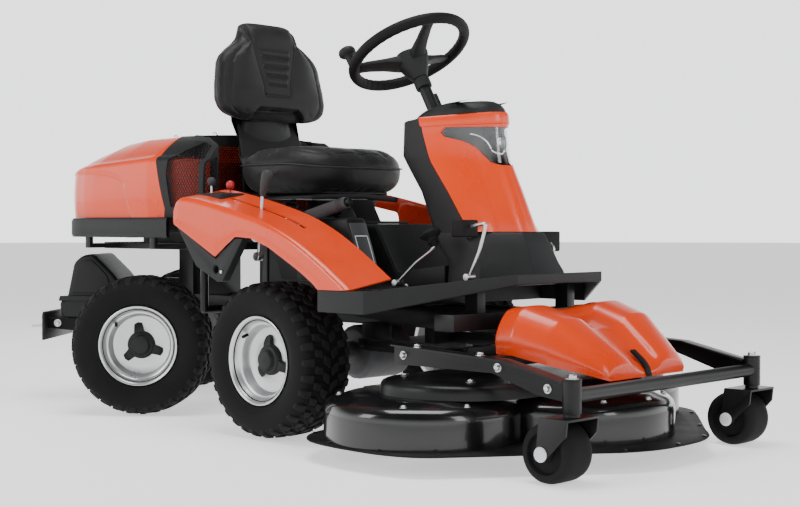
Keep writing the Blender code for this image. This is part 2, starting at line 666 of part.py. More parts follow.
# ---------------------------------------------------------------- hood
# x from the rear axle, half width, top half width, side height and top height over the frame.
HOOD = [
    (-0.170, 0.258, 0.165, 0.352, 0.392),
    (-0.140, 0.312, 0.190, 0.384, 0.426),
    (0.000, 0.334, 0.200, 0.398, 0.452),
    (0.287, 0.334, 0.210, 0.412, 0.476),
]
GRILLE = [
    (0.287 + GAP, 0.334, 0.210, 0.412, 0.476),
    (0.387, 0.312, 0.200, 0.412, 0.478),
    (0.482, 0.282, 0.240, 0.398, 0.440),
]
SEAT_BAY = (0.379, 0.228)    # where the hood's front is notched for the backrest: x and half width


def hood_ring(station, inset, low, ahead=0.0):
    x, half, top_half, side, top = station
    half, top_half = half - inset, top_half - inset * 0.6
    side, top = FRAME_TOP + side - inset * 0.6, FRAME_TOP + top - inset
    right = [(-half, low), (-half - 0.004, (low + side) / 2), (-half, side - 0.020), (-half + 0.022, side)]
    right += [(-top_half, top)]
    loop = right + [(-y, z) for y, z in reversed(right)]
    return [(REAR + x + ahead, y, z) for y, z in loop]


def hood(parent):
    opening = joint("hood_open", parent, HOOD_HINGE, (0, -1, 0))
    low = SKIRT_TOP + GAP
    outer = loft([hood_ring(station, 0, low) for station in HOOD])
    inner = [hood_ring(station, SKIN, low - 0.02, SKIN if i == 0 else 0) for i, station in enumerate(HOOD)]
    inner.append(hood_ring(HOOD[-1], SKIN, low - 0.02, 0.02))
    solid("hood_shell", opening, "orange", [outer], [loft(inner)])
    outer = loft([hood_ring(station, 0, low) for station in GRILLE])
    bay_x, bay_half = REAR + SEAT_BAY[0], SEAT_BAY[1]
    inner = [hood_ring(GRILLE[0], SKIN, low - 0.02, -0.02), hood_ring(GRILLE[0], SKIN, low - 0.02)]
    inner.append(hood_ring(GRILLE[1], SKIN, low - 0.02, bay_x - SKIN - REAR - GRILLE[1][0]))
    cuts = [block((bay_x, -bay_half, low - 0.02), (bay_x + 0.2, bay_half, low + 0.4)), loft(inner)]
    for side in (1, -1):
        near, far = sorted((side * (bay_half + SKIN), side * (GRILLE[2][1] - 0.012)))
        cuts.append(block((bay_x - 0.02, near, low - 0.02), (REAR + GRILLE[2][0] - SKIN, far, low + 0.135)))
    solid("hood_grille", opening, "dark_plastic", [outer], cuts)


# ---------------------------------------------------------------- seat
def seat(parent):
    tilt = joint("seat_tilt", parent, SEAT_HINGE, (0, 1, 0))
    plate = [block((-0.330, -0.150, SEAT_PLATE_LOW), (SEAT_HINGE.x + 0.006, 0.150, SEAT_PLATE_LOW + PLATE - 0.0045))]
    for side in (1, -1):
        near, far = sorted((side * 0.0475, side * 0.0580))
        plate.append(block((SEAT_HINGE.x - 0.012, near, SEAT_HINGE.z - 0.012),
                           (SEAT_HINGE.x + 0.006, far, SEAT_PLATE_LOW + 0.002)))
        rail = sorted((side * 0.090, side * 0.130))
        plate.append(block((-0.300, rail[0], SEAT_PLATE_LOW + 0.004), (-0.075, rail[1], SEAT_PLATE_LOW + PLATE)))
    hole = rod((SEAT_HINGE.x, -0.2, SEAT_HINGE.z), (SEAT_HINGE.x, 0.2, SEAT_HINGE.z), 0.0067)
    solid("seat_plate", tilt, "black_steel", plate, [hole])

    slide = joint("seat_slide", tilt, (SEAT_HINGE.x, 0, PAN_LOW), (1, 0, 0))
    low, top = PAN_LOW, PAN_LOW + PLATE
    rear = SEAT_FRONT - SEAT_LENGTH - 0.002
    outline = [(SEAT_FRONT - 0.050, low), (SEAT_FRONT - 0.050, top), (rear - 0.007, top), (rear - 0.017, low + 0.160)]
    outline += [(rear - 0.055, low + 0.222), (rear - 0.077, low + 0.402), (rear - 0.089, low + 0.402)]
    outline += [(rear - 0.067, low + 0.222), (rear - 0.029, low + 0.155), (rear - 0.019, low)]
    solid("seat_shell", slide, "dark_plastic", [prism(outline, "y", -0.120, 0.120)])

    middle = SEAT_FRONT - SEAT_LENGTH / 2
    rings = []
    levels = ((0, 0.030), (0.020, 0.006), (0.060, 0), (0.098, 0.014), (CUSHION_DEPTH, 0.066))
    for height, shrink in levels:
        ring = oval((middle, 0), SEAT_LENGTH / 2 - shrink, SEAT_HALF_WIDTH - shrink, CUSHION_LOW + height, 2.5, 20)
        rings.append(ring)
    solid("seat_cushion", slide, "vinyl", [loft(rings)])

    rings = []
    levels = ((0.222, 0.125, 0.020), (0.240, 0.182, 0.006), (0.275, 0.202, 0), (0.390, 0.188, 0))
    levels += ((0.435, 0.152, 0), (0.470, 0.110, 0.002), (0.510, 0.096, 0.010), (0.522, 0.084, 0.022))
    for height, half, shrink in levels:
        back = rear - 0.055 - (height - 0.222) * 0.1222 + GAP + shrink * 0.4
        thick = BACK_THICKNESS - shrink
        rings.append(oval((back + thick / 2, 0), thick / 2, half, low + height, 3.4, 20))
    solid("seat_back", slide, "vinyl", [loft(rings)])

    handle = (SEAT_HINGE.x - 0.020, -0.160, SEAT_PLATE_LOW + 0.003)
    lever = joint("seat_lever_turn", tilt, handle, (0, 1, 0))
    path = [handle, (0.030, -0.160, handle[2]), (0.120, -0.152, handle[2] - 0.002), (0.225, -0.146, handle[2] - 0.012)]
    pin_x = handle[0] + 0.008
    pin = rod((pin_x, -0.150 - GAP, handle[2] + 0.0007), (pin_x, -0.1575, handle[2] + 0.0007), 0.0046, 10, 0.2)
    solid("seat_lever", lever, "dark_plastic", [pipe(path, 0.0070, 8), pin])


# ---------------------------------------------------------------- steering
def steering(parent):
    def at(u, y, lift=0.0):
        """A place in the ring's plane: u forward along its slope, y to the left."""
        forward = Vector((math.cos(RING_TILT), 0.0, math.sin(RING_TILT)))
        return RING_CENTRE + forward * u + Vector((0, y, 0)) + COLUMN_AXIS * lift

    foot = at(0, 0, -HUB_DROP)
    slide = joint("column_slide", parent, foot, COLUMN_AXIS)
    bottom = at(0, 0, -HUB_DROP - COLUMN_LENGTH)
    solid("column_tube", slide, "dark_plastic", [rod(bottom, at(0, 0, -HUB_DROP - GAP), COLUMN_TUBE, 16)])

    turning = joint("steering_turn", slide, foot, COLUMN_AXIS)
    ring = [(RING_RADIUS + RING_THICK * math.cos(a), RING_THICK * math.sin(a)) for a in
            (2 * PI * i / 7 for i in range(7))]
    rim = turned(ring, RING_CENTRE, COLUMN_AXIS, 24)
    boss = [(0, 0), (0.026, 0), (0.036, 0.030), (0.044, 0.062), (0.034, 0.080), (0, 0.080)]
    shapes = [rim, turned(boss, foot, COLUMN_AXIS, 12)]
    for angle in (KNOB_AT, *OTHER_SPOKES):
        a = math.radians(angle)
        inner = at(0.020 * math.cos(a), 0.020 * math.sin(a), -0.030)
        outer = at(RING_RADIUS * math.cos(a), RING_RADIUS * math.sin(a), -0.001)
        across = (outer - inner).cross(COLUMN_AXIS).normalized()
        wide = 0.032 if angle == KNOB_AT else 0.020
        depth = COLUMN_AXIS * 0.007
        rings = []
        for centre, half in ((inner, wide), (outer, wide * 0.6)):
            side = across * half
            rings.append([tuple(centre + s * side + t * depth) for s, t in ((-1, -1), (1, -1), (1, 1), (-1, 1))])
        shapes.append(loft(rings))
    solid("steering_wheel", turning, "dark_plastic", shapes)

    a = math.radians(KNOB_AT)
    knob_foot = at(RING_RADIUS * math.cos(a), RING_RADIUS * math.sin(a), RING_THICK + GAP)
    spin = joint("spinner_knob_spin", turning, knob_foot, COLUMN_AXIS)
    knob = [(0, 0), (0.010, 0), (0.011, 0.018), (0.023, 0.030), (0.024, 0.042), (0.015, 0.051), (0, 0.053)]
    solid("spinner_knob", spin, "dark_plastic", [turned(knob, knob_foot, COLUMN_AXIS, 12)])

    pin = RING_CENTRE - COLUMN_AXIS * 0.185 + Vector((0.000, 0.030, 0.0))
    clamp = joint("column_lever_turn", parent, pin, (0, 1, 0))
    tip = pin + COLUMN_AXIS * 0.052
    solid("column_lever", clamp, "dark_plastic",
          [rod(pin + COLUMN_AXIS * 0.004, tip, 0.0075, 8), rod(pin, pin + Vector((0, 0.014, 0)), 0.010, 10)])
    return turning


# ---------------------------------------------------------------- levers and pedals
def levers(parent):
    pivot = Vector((-0.200, LIFT_LEVER_Y, FRAME_TOP + 0.185))
    lift = joint("lift_lever_turn", parent, pivot, (0, -1, 0))
    rise = math.radians(13.5)
    along = Vector((math.cos(rise), 0, math.sin(rise)))
    up = Vector((-math.sin(rise), 0, math.cos(rise)))

    def bar(start, end, half_deep, half_wide, lift_by=0.0):
        rings = []
        for reach in (start, end):
            centre = pivot + along * reach + up * lift_by
            corners = ((-1, -1), (1, -1), (1, 1), (-1, 1))
            side = Vector((0, half_wide, 0))
            rings.append([tuple(centre + a * side + b * half_deep * up) for a, b in corners])
        return loft(rings)

    eye = rod(pivot - Vector((0, 0.005, 0)), pivot + Vector((0, 0.005, 0)), 0.018, 14)
    hole = rod(pivot - Vector((0, 0.02, 0)), pivot + Vector((0, 0.02, 0)), LIFT_PIN + LIFT_PIN_PLAY, 14)
    grip = rod(pivot + along * 0.212, pivot + along * 0.372, 0.0165, 12)
    button_way = rod(pivot + along * 0.334, pivot + along * 0.380, 0.0105, 12)
    solid("lift_lever", lift, "grip_grey", [bar(0.010, 0.230, 0.014, 0.005), eye, grip], [hole, button_way])
    start = pivot + along * 0.3450
    push = joint("lift_button_press", lift, start, along)
    solid("lift_button", push, "dark_plastic", [rod(start, pivot + along * 0.383, 0.0095, 12)])

    base = Vector((-0.075, -(BODY_OUT - 0.081), FRAME_TOP + 0.130))
    height = joint("height_lever_turn", parent, base, (0, 1, 0))
    neck = base + Vector((0.016, 0, 0.160))
    knob = base + Vector((0.038, 0, 0.226))
    shapes = [rod(base, neck, 0.0045, 8), turned(
        [(0, 0), (0.008, 0), (0.0135, 0.040), (0.0145, 0.062), (0, 0.072)], neck, knob - neck, 12)]
    shapes.append(rod(base - Vector((0, 0.010, 0)), base + Vector((0, 0.010, 0)), 0.012, 12))
    solid("height_lever", height, "grip_grey", shapes)

    small = (("throttle", -0.278, 0.086, "grip_grey", 0.0), ("choke", -0.232, 0.114, "red", -0.010))
    for name, x, inboard, look, drop in small:
        base = Vector((x, -(BODY_OUT - inboard), FRAME_TOP + 0.262))
        turn = joint(f"{name}_turn", parent, base, (0, 1, 0))
        top = base + Vector((0, 0, 0.058 + drop))
        head = [(0, 0), (0.009, 0.002), (0.012, 0.012), (0.009, 0.023), (0, 0.025)]
        shapes = [rod(base, top + Vector((0, 0, 0.006)), 0.003, 6), turned(head, top, (0, 0, 1), 10)]
        shapes.append(rod(base - Vector((0, 0.006, 0)), base + Vector((0, 0.006, 0)), 0.008, 10))
        solid(f"{name}_lever", turn, look, shapes)


def pedal(name, parent, foot_x, y, path, pad):
    foot_z = plate_top(foot_x) + 0.0115
    foot = Vector((foot_x, y, foot_z))
    press = joint(f"{name}_press", parent, foot, (0, 1, 0))
    points = [foot] + [Vector((x, y, FRAME_TOP + z)) for x, z in path]
    barrel = rod(foot - Vector((0, 0.014, 0)), foot + Vector((0, 0.014, 0)), 0.009, 10)
    solid(name, press, "rubber", [barrel, pipe(points, 0.0052, 8), pad])


def pedals(parent):
    top = FRAME_TOP
    right = -0.205
    pad = block((0.493, right - 0.028, top + 0.184), (0.535, right + 0.028, top + 0.226))
    pedal("forward_pedal", parent, 0.528, right, [(0.560, 0.150), (0.580, 0.212), (0.575, 0.218), (0.520, 0.209)], pad)
    knob = turned([(0, 0), (0.027, 0.003), (0.027, 0.010), (0.014, 0.022), (0.008, 0.040), (0, 0.040)],
                  (0.396, right, top + 0.196), (0.45, 0, -0.89), 12)
    pedal("reverse_pedal", parent, 0.287, right, [(0.350, 0.118), (0.405, 0.150), (0.412, 0.160), (0.408, 0.178)], knob)
    left = 0.235
    pad = block((0.400, left - 0.040, top + 0.142), (0.440, left + 0.040, top + 0.196))
    pedal("brake_pedal", parent, 0.400, left, [(0.430, 0.100), (0.448, 0.165), (0.425, 0.170)], pad)


# ---------------------------------------------------------------- rear carriage
def rear_carriage(parent):
    steer = joint("rear_steer", parent, (PIVOT_X, 0, FRAME_LOW), (0, 0, 1))
    low = FRAME_LOW + 0.021 + GAP * 2
    high = FRAME_TOP + 0.075 - GAP * 2
    shapes = [axle(REAR)]
    shapes.append(rod((PIVOT_X, 0, low), (PIVOT_X, 0, high), 0.030, 20))
    shapes.append(rod((PIVOT_X, 0, FRAME_LOW + 0.006), (PIVOT_X, 0, FRAME_TOP + 0.090), PIVOT_PIN, 20))
    neck = [(REAR - 0.040, AXLE_Z + 0.030), (REAR + 0.030, AXLE_Z + 0.030), (REAR + 0.030, low + 0.004)]
    neck += [(PIVOT_X, low + 0.004), (PIVOT_X, high - 0.030), (REAR - 0.040, high - 0.030)]
    shapes.append(prism(neck, "y", -0.026, 0.026))
    for side in (1, -1):
        near, far = sorted((side * 0.100, side * 0.112))
        arm = [(REAR + 0.020, AXLE_Z - 0.012), (REAR + 0.020, AXLE_Z + 0.022), (REAR - 0.110, AXLE_Z + 0.058)]
        arm += [(TOW_X, AXLE_Z + 0.058), (TOW_X, AXLE_Z + 0.028)]
        shapes.append(prism(arm, "y", near, far))
    solid("rear_carriage", steer, "black_steel", shapes)

    top = FRAME_TOP
    low = AXLE_Z + 0.058 + GAP
    tail = [(-0.403, low - top), (-0.408, -0.026), (-0.383, -0.012), (-0.361, 0.096), (-0.335, 0.118)]
    tail += [(-0.301, 0.124), (-0.240, 0.064), (-0.205, 0.020), (-0.200, low - top)]
    inside = [(-0.398, -0.150), (-0.403, -0.030), (-0.378, -0.015), (-0.357, 0.093), (-0.333, 0.113)]
    inside += [(-0.303, 0.119), (-0.244, 0.061), (-0.209, 0.018), (-0.204, -0.150)]
    tail, inside = ([(PIVOT_X + x, top + z) for x, z in outline] for outline in (tail, inside))
    half = HOUSING_HALF
    hollow = prism(inside, "y", -half + SKIN, half - SKIN)
    solid("rear_housing", steer, "dark_plastic", [prism(tail, "y", -half, half)], [hollow])

    x = TOW_X - GAP
    plate = [block((x - 0.008, -0.150, AXLE_Z - 0.008), (x, 0.150, AXLE_Z + 0.080))]
    plate.append(block((x - 0.082, -0.032, AXLE_Z + 0.024), (x - 0.004, 0.032, AXLE_Z + 0.031)))
    hitch = rod((x - 0.060, 0, AXLE_Z), (x - 0.060, 0, AXLE_Z + 0.05), 0.0095, 14)
    solid("tow_plate", steer, "black_steel", plate, [hitch])
    return steer


# ---------------------------------------------------------------- cutting unit
def lobes(grow, low, high, sides=24):
    """The three blade chambers as upright drums."""
    side_x, side_y = SIDE_SPINDLE
    drums = []
    for x, y, radius in ((side_x, -side_y, DECK_LOBE), (side_x, side_y, DECK_LOBE), (MID_SPINDLE_X, 0, MID_LOBE)):
        drums.append(rod((x, y, low), (x, y, high), radius + grow, sides))
    return drums


def spindles():
    side_x, side_y = SIDE_SPINDLE
    return (("right", side_x, -side_y), ("centre", MID_SPINDLE_X, 0.0), ("left", side_x, side_y))


def deck(parent):
    pivot = (DECK_PIVOT[0], 0, DECK_PIVOT[1])
    lift = joint("deck_lift", parent, pivot, (0, -1, 0))
    deck_frame(lift)
    height = joint("deck_height", lift, (MID_SPINDLE_X, 0, DECK_TOP), (0, 0, 1))

    rear_x = SIDE_SPINDLE[0] - DECK_LOBE * 0.86
    bridge = block((rear_x, -SIDE_SPINDLE[1], DECK_LIP + 0.002), (MID_SPINDLE_X, SIDE_SPINDLE[1], DECK_TOP))
    skirt_right = [(rear_x - 0.040, 0.0), (rear_x - 0.040, -0.250), (0.222, -0.440), (0.300, -0.530)]
    edge = SIDE_SPINDLE[1] + DECK_LOBE + 0.012
    skirt_right += [(0.420, -edge + 0.006), (0.590, -edge), (0.690, -edge + 0.050), (0.748, -0.470)]
    skirt_right += [(0.905, -0.255), (0.985, -0.140), (1.005, -0.060)]
    skirt = skirt_right + [(x, -y) for x, y in reversed(skirt_right[1:])]
    shapes = lobes(0, DECK_LIP + 0.002, DECK_TOP)
    shapes += [bridge, prism(skirt, "z", DECK_LIP, DECK_LIP + DECK_SKIN * 1.6)]
    low, high = DECK_LIP - 0.02, DECK_TOP - DECK_SKIN
    cuts = lobes(-DECK_SKIN, low, high)
    cuts.append(block((rear_x + DECK_SKIN, -SIDE_SPINDLE[1], low), (MID_SPINDLE_X, SIDE_SPINDLE[1], high)))
    for _, x, y in spindles():
        cuts.append(rod((x, y, low), (x, y, DECK_TOP + 0.02), SPINDLE_RADIUS + SPINDLE_PLAY, 14))
    solid("deck_shell", height, "deck_black", shapes, cuts)

    right = [(0.370, 0.0), (0.370, -0.300), (0.400, -0.392), (0.480, -0.450), (0.600, -0.442), (0.690, -0.392)]
    right += [(0.735, -0.310), (0.755, -0.150), (0.830, -0.110), (0.850, 0.0)]

    def belt_ring(inset, level):
        centre = Vector((0.58, 0.0))
        ring = []
        for x, y in right + [(x, -y) for x, y in reversed(right[1:-1])]:
            toward = centre - Vector((x, y))
            step = toward.normalized() * inset
            ring.append((x + step.x, y + step.y * 0.8, level))
        return ring

    base = DECK_TOP + GAP
    outer = loft([belt_ring(0, base), belt_ring(0.004, BELT_COVER_TOP - 0.010), belt_ring(0.016, BELT_COVER_TOP)])
    inner = loft([belt_ring(0.005, base - 0.01), belt_ring(0.009, BELT_COVER_TOP - 0.012),
                  belt_ring(0.020, BELT_COVER_TOP - 0.004)])
    solid("belt_cover", height, "dark_plastic", [outer], [inner])

    pulley_low = DECK_TOP + 0.008
    belt_z = (pulley_low + 0.002, pulley_low + 0.012)
    places = [Vector((x, y)) for _, x, y in spindles()]

    def belt_loop(radius):
        """The band round three pulleys: an arc on each, straight between them."""
        loop = []
        for i, centre in enumerate(places):
            ahead = (places[(i + 1) % 3] - centre).normalized()
            behind = (centre - places[i - 1]).normalized()
            first = math.atan2(-behind.x, behind.y)
            last = math.atan2(-ahead.x, ahead.y)
            while last < first:
                last += 2 * PI
            for k in range(7):
                angle = first + (last - first) * k / 6
                loop.append((centre.x + radius * math.cos(angle), centre.y + radius * math.sin(angle)))
        return loop

    run = PULLEY_RADIUS + 0.0012
    inside = belt_loop(run)
    outside = belt_loop(run + 0.006)
    band = prism(outside, "z", *belt_z)
    hole = prism(inside, "z", belt_z[0] - 0.01, belt_z[1] + 0.01)
    solid("deck_belt", height, "rubber", [band], [hole])

    for name, x, y in spindles():
        spin = joint(f"blade_{name}_spin", height, (x, y, BLADE_HEIGHT), (0, 0, 1))
        blade(f"blade_{name}", spin, x, y, pulley_low)


def blade(name, parent, x, y, pulley_low):
    half = BLADE_LENGTH / 2
    low = BLADE_HEIGHT
    outline = [(-half, -0.026), (half - 0.060, -0.026), (half, -0.012), (half, 0.026), (-half + 0.060, 0.026)]
    outline.append((-half, 0.012))
    bar = prism([(x + b, y + a) for a, b in outline], "z", low, low + 0.004)
    pulley_top = BELT_COVER_TOP - 0.004 - 0.003
    profile = [(0, -0.008), (0.014, -0.008), (0.014, 0.0), (SPINDLE_RADIUS, 0.010)]
    hub = pulley_low - low
    groove = PULLEY_RADIUS - 0.002
    profile += [(SPINDLE_RADIUS, hub - 0.001), (groove, hub - 0.001), (groove, hub + 0.013)]
    profile += [(0.016, hub + 0.014), (0.016, pulley_top - low), (0, pulley_top - low)]
    solid(name, parent, "silver", [turned(profile, (x, y, low), (0, 0, 1), 16), bar])


def deck_frame(parent):
    tube = [(CASTER_X, -CASTER_Y, CASTER_BAR_Z), (CASTER_X, CASTER_Y, CASTER_BAR_Z)]
    shapes = [rod(*tube, CROSS_TUBE, 14)]
    arm = [(0.440, ARM_LOW), (0.440, 0.2650), (0.775, 0.2500), (CASTER_X - 0.010, 0.2130)]
    arm += [(CASTER_X - 0.010, 0.1740), (0.870, 0.1840), (0.745, ARM_LOW)]
    cuts = []
    for side in (1, -1):
        near, far = sorted((side * (ARM_Y - 0.006), side * (ARM_Y + 0.006)))
        shapes.append(prism(arm, "y", near, far))
        flange = sorted((side * (ARM_Y - 0.026), side * (ARM_Y + 0.012)))
        top = [(0.432, 0.2650), (0.432, 0.2690), (0.775, 0.2540), (CASTER_X - 0.012, 0.2165)]
        top += [(CASTER_X - 0.012, 0.2120), (0.775, 0.2490)]
        shapes.append(prism(top, "y", *flange))
        shapes.append(rod((CASTER_X, side * CASTER_Y, HOUSING_LOW), (CASTER_X, side * CASTER_Y, HOUSING_TOP),
                          HOUSING_RADIUS, 16))
        near, far = sorted((side * 0.1650, side * 0.1750))
        draft = [(DECK_PIVOT[0] - 0.016, DECK_PIVOT[1] - 0.014), (DECK_PIVOT[0] + 0.030, ARM_LOW)]
        draft += [(0.490, ARM_LOW), (0.490, 0.2485), (DECK_PIVOT[0] + 0.020, 0.2560), (DECK_PIVOT[0] - 0.016, 0.2540)]
        shapes.append(prism(draft, "y", near, far))
        cuts.append(rod((DECK_PIVOT[0], near - 0.01, DECK_PIVOT[1]), (DECK_PIVOT[0], far + 0.01, DECK_PIVOT[1]),
                        LIFT_PIN + LIFT_PIN_PLAY))
        cuts.append(rod((CASTER_X, side * CASTER_Y, HOUSING_LOW - 0.01), (CASTER_X, side * CASTER_Y, HOUSING_TOP + 0.01),
                        STEM_RADIUS + STEM_PLAY, 16))
    for x in (0.445, 0.645):
        shapes.append(block((x, -ARM_Y, ARM_LOW), (x + 0.032, ARM_Y, 0.2480)))
    solid("deck_frame", parent, "black_steel", shapes, cuts)

    rings = []
    stations = ((0.622, 0.200, 0.2490, 0.318), (0.635, 0.238, 0.2487, 0.352), (0.690, 0.240, 0.2487, 0.362))
    stations += ((0.780, 0.222, 0.2300, 0.330), (0.860, 0.182, 0.2120, 0.270), (0.905, 0.158, 0.1980, 0.236))
    for x, half, low, top in stations:
        rings.append([(x, -half, low), (x, -half, (low + top) / 2), (x, -half * 0.82, top), (x, 0, top - 0.012),
                      (x, half * 0.82, top), (x, half, (low + top) / 2), (x, half, low)])
    shell = loft(rings)
    rings = []
    for i, (x, half, low, top) in enumerate(stations):
        x += (SKIN, SKIN, 0, 0, -SKIN, -SKIN)[i]
        half -= SKIN
        top -= SKIN
        rings.append([(x, -half, low - 0.02), (x, -half, (low + top) / 2), (x, -half * 0.82, top), (x, 0, top - 0.012),
                      (x, half * 0.82, top), (x, half, (low + top) / 2), (x, half, low - 0.02)])
    solid("deck_cover", parent, "orange", [shell], [loft(rings)])

    for name, side in (("right", -1), ("left", 1)):
        caster(name, parent, side)


def caster(name, parent, side):
    x, y = CASTER_X, side * CASTER_Y
    swivel = joint(f"{name}_caster_swivel", parent, (x, y, HOUSING_LOW), (0, 0, 1))
    axle_at = Vector((x - CASTER_TRAIL, y, CASTER_RADIUS))
    crown = 2 * CASTER_RADIUS + 0.006
    out = CASTER_HALF_WIDTH + 0.010
    shapes = [block((x - 0.045, y - out, crown), (x + 0.030, y + out, crown + 0.005))]
    shapes.append(rod((x, y, crown + 0.002), (x, y, HOUSING_TOP + 0.004), STEM_RADIUS, 16))
    shapes.append(rod((x, y, crown + 0.002), (x, y, HOUSING_LOW - GAP * 2), HOUSING_RADIUS - 0.004, 16))
    leg = [(x - 0.045, crown + 0.005), (x + 0.030, crown + 0.005), (x + 0.026, crown - 0.030)]
    leg += [(axle_at.x + 0.014, CASTER_RADIUS - 0.010), (axle_at.x - 0.004, CASTER_RADIUS - 0.014)]
    leg += [(axle_at.x - 0.014, CASTER_RADIUS + 0.002)]
    for direction in (1, -1):
        near, far = sorted((y + direction * (out - 0.005), y + direction * out))
        shapes.append(prism(leg, "y", near, far))
    shapes.append(rod(axle_at - Vector((0, out - 0.002, 0)), axle_at + Vector((0, out - 0.002, 0)), CASTER_PIN, 12))
    solid(f"{name}_caster_fork", swivel, "black_steel", shapes)
    roll = joint(f"{name}_caster_spin", swivel, axle_at, (0, 1, 0))
    half = CASTER_HALF_WIDTH
    r = CASTER_RADIUS / math.cos(PI / 16)
    bore = CASTER_PIN + 0.0007
    profile = [(bore, half), (0.020, half), (0.020, half - 0.012), (0.042, half - 0.012), (0.050, half), (r - 0.008, half)]
    loop = profile + [(r, half * 0.45)] + [(radius, -place) for radius, place in reversed(profile + [(r, half * 0.45)])]
    solid(f"{name}_caster_wheel", roll, "rubber", [turned(loop, axle_at, (0, 1, 0), 16, PI / 16)])


# ---------------------------------------------------------------- the machine
def stand_on_origin(root):
    """Moves the machine so that its box stands centred on the world's origin."""
    bpy.context.view_layer.update()
    graph = bpy.context.evaluated_depsgraph_get()
    low, high = Vector((math.inf,) * 3), Vector((-math.inf,) * 3)
    for obj in bpy.context.scene.objects:
        if obj.type != "MESH" or obj.hide_render:
            continue
        evaluated = obj.evaluated_get(graph)
        for vertex in evaluated.data.vertices:
            point = evaluated.matrix_world @ vertex.co
            low = Vector(map(min, low, point))
            high = Vector(map(max, high, point))
    root.location = (-(low.x + high.x) / 2, -(low.y + high.y) / 2, -low.z)


def main():
    for obj in list(bpy.data.objects):
        bpy.data.objects.remove(obj, do_unlink=True)
    root = joint("mower", None, (0, 0, 0))
    main_frame(root)
    engine(root)
    fuel_tank(root)
    body_skirt(root)
    slot = block((-0.190, -(BODY_OUT - 0.075), FRAME_TOP + 0.10), (0.110, -(BODY_OUT - 0.087), FRAME_TOP + 0.40))
    console = block((-0.300, -(BODY_OUT - 0.060), FRAME_TOP + 0.20), (-0.205, -(BODY_OUT - 0.130), FRAME_TOP + 0.40))
    fender("fender_right", root, -1, [slot, console])
    fender("fender_left", root, 1)
    lower_panel("lower_panel_right", root, -1)
    lower_panel("lower_panel_left", root, 1)
    footplate(root)
    tunnel(root)
    column_cowl(root)
    column_cover(root)
    headlamp(root)
    dash_cap(root)
    seat_mount(root)
    solid("front_axle", root, "cast", [axle(0.0)])
    hood(root)
    seat(root)
    steering_turn = steering(root)
    levers(root)
    pedals(root)
    for name, side in (("front_right", -1), ("front_left", 1)):
        wheel(name, root, 0.0, side)
    steer = rear_carriage(root)
    for name, side in (("rear_right", -1), ("rear_left", 1)):
        wheel(name, steer, REAR, side)
    deck(root)
    turn_joint(steer, STEER_ANGLE)
    turn_joint(steering_turn, REST_TURN)
    stand_on_origin(root)


main()
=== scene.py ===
"""The looks of the articulated mower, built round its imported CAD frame."""

import json
import math

import bmesh
import bpy
from mathutils import Matrix, Vector, noise


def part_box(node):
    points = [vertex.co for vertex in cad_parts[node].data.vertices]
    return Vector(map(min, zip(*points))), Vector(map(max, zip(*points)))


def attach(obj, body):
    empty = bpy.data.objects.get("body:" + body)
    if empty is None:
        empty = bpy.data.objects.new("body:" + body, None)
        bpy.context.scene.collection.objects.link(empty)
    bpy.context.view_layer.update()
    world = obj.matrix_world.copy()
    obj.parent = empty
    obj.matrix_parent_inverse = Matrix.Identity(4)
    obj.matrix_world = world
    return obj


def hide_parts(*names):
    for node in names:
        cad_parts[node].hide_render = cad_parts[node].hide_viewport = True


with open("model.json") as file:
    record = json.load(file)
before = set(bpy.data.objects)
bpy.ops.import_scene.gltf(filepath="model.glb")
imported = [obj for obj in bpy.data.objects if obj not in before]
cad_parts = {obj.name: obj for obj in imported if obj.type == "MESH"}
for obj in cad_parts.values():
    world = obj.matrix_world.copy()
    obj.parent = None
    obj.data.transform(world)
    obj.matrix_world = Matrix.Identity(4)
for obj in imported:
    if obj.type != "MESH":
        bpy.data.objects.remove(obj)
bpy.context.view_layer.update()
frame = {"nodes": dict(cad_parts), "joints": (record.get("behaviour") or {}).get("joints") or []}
PI = math.pi
EDGE_ANGLE = math.radians(28)   # a sharper edge than this is rounded
VOXEL = 0.0055                  # the pads are remeshed this finely before they swell
CLOTH_PRESSURE = 4.0
CLOTH_FRAMES = 20
FLOOR_RADIUS = 40
FLOOR_SIDES = 64
JOINT = {joint["name"]: joint for joint in frame["joints"]}


def centre_of(node):
    low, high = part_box(node)
    return (low + high) / 2


# ------------------------------------------------------------------ frames
# Shapes are written with the front axle at x = 0 and the rear carriage straight ahead.
AXLE = centre_of("front_right_tyre")
HALF_TRACK = -AXLE.y
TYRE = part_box("front_right_tyre")
TYRE_R = (TYRE[1].z - TYRE[0].z) / 2
TYRE_HALF = (TYRE[1].y - TYRE[0].y) / 2
HERE = Matrix.Translation((AXLE.x, 0, 0))
PIVOT = Vector(JOINT["rear_steer"]["pos_m"])
_across = centre_of("rear_left_tyre") - centre_of("rear_right_tyre")
STEER = math.atan2(-_across.x, _across.y)
_middle = (centre_of("rear_left_tyre") + centre_of("rear_right_tyre")) / 2
PIVOT_X = PIVOT.x - AXLE.x
REAR_X = PIVOT_X - (Vector((_middle.x, _middle.y)) - Vector((PIVOT.x, PIVOT.y))).length
REAR = HERE @ Matrix.Translation((PIVOT_X, 0, 0)) @ Matrix.Rotation(STEER, 4, "Z")
REAR = REAR @ Matrix.Translation((-PIVOT_X, 0, 0))
STEER_AXIS = Vector(JOINT["steering_turn"]["axis"]).normalized()
HUB_FOOT = Vector(JOINT["steering_turn"]["pos_m"])
RING_MIDDLE = HUB_FOOT + STEER_AXIS * 0.085
FORWARD = Vector((0, 1, 0)).cross(STEER_AXIS)
RING = Matrix((
    (FORWARD.x, 0, STEER_AXIS.x, RING_MIDDLE.x),
    (FORWARD.y, 1, STEER_AXIS.y, RING_MIDDLE.y),
    (FORWARD.z, 0, STEER_AXIS.z, RING_MIDDLE.z),
    (0, 0, 0, 1),
))


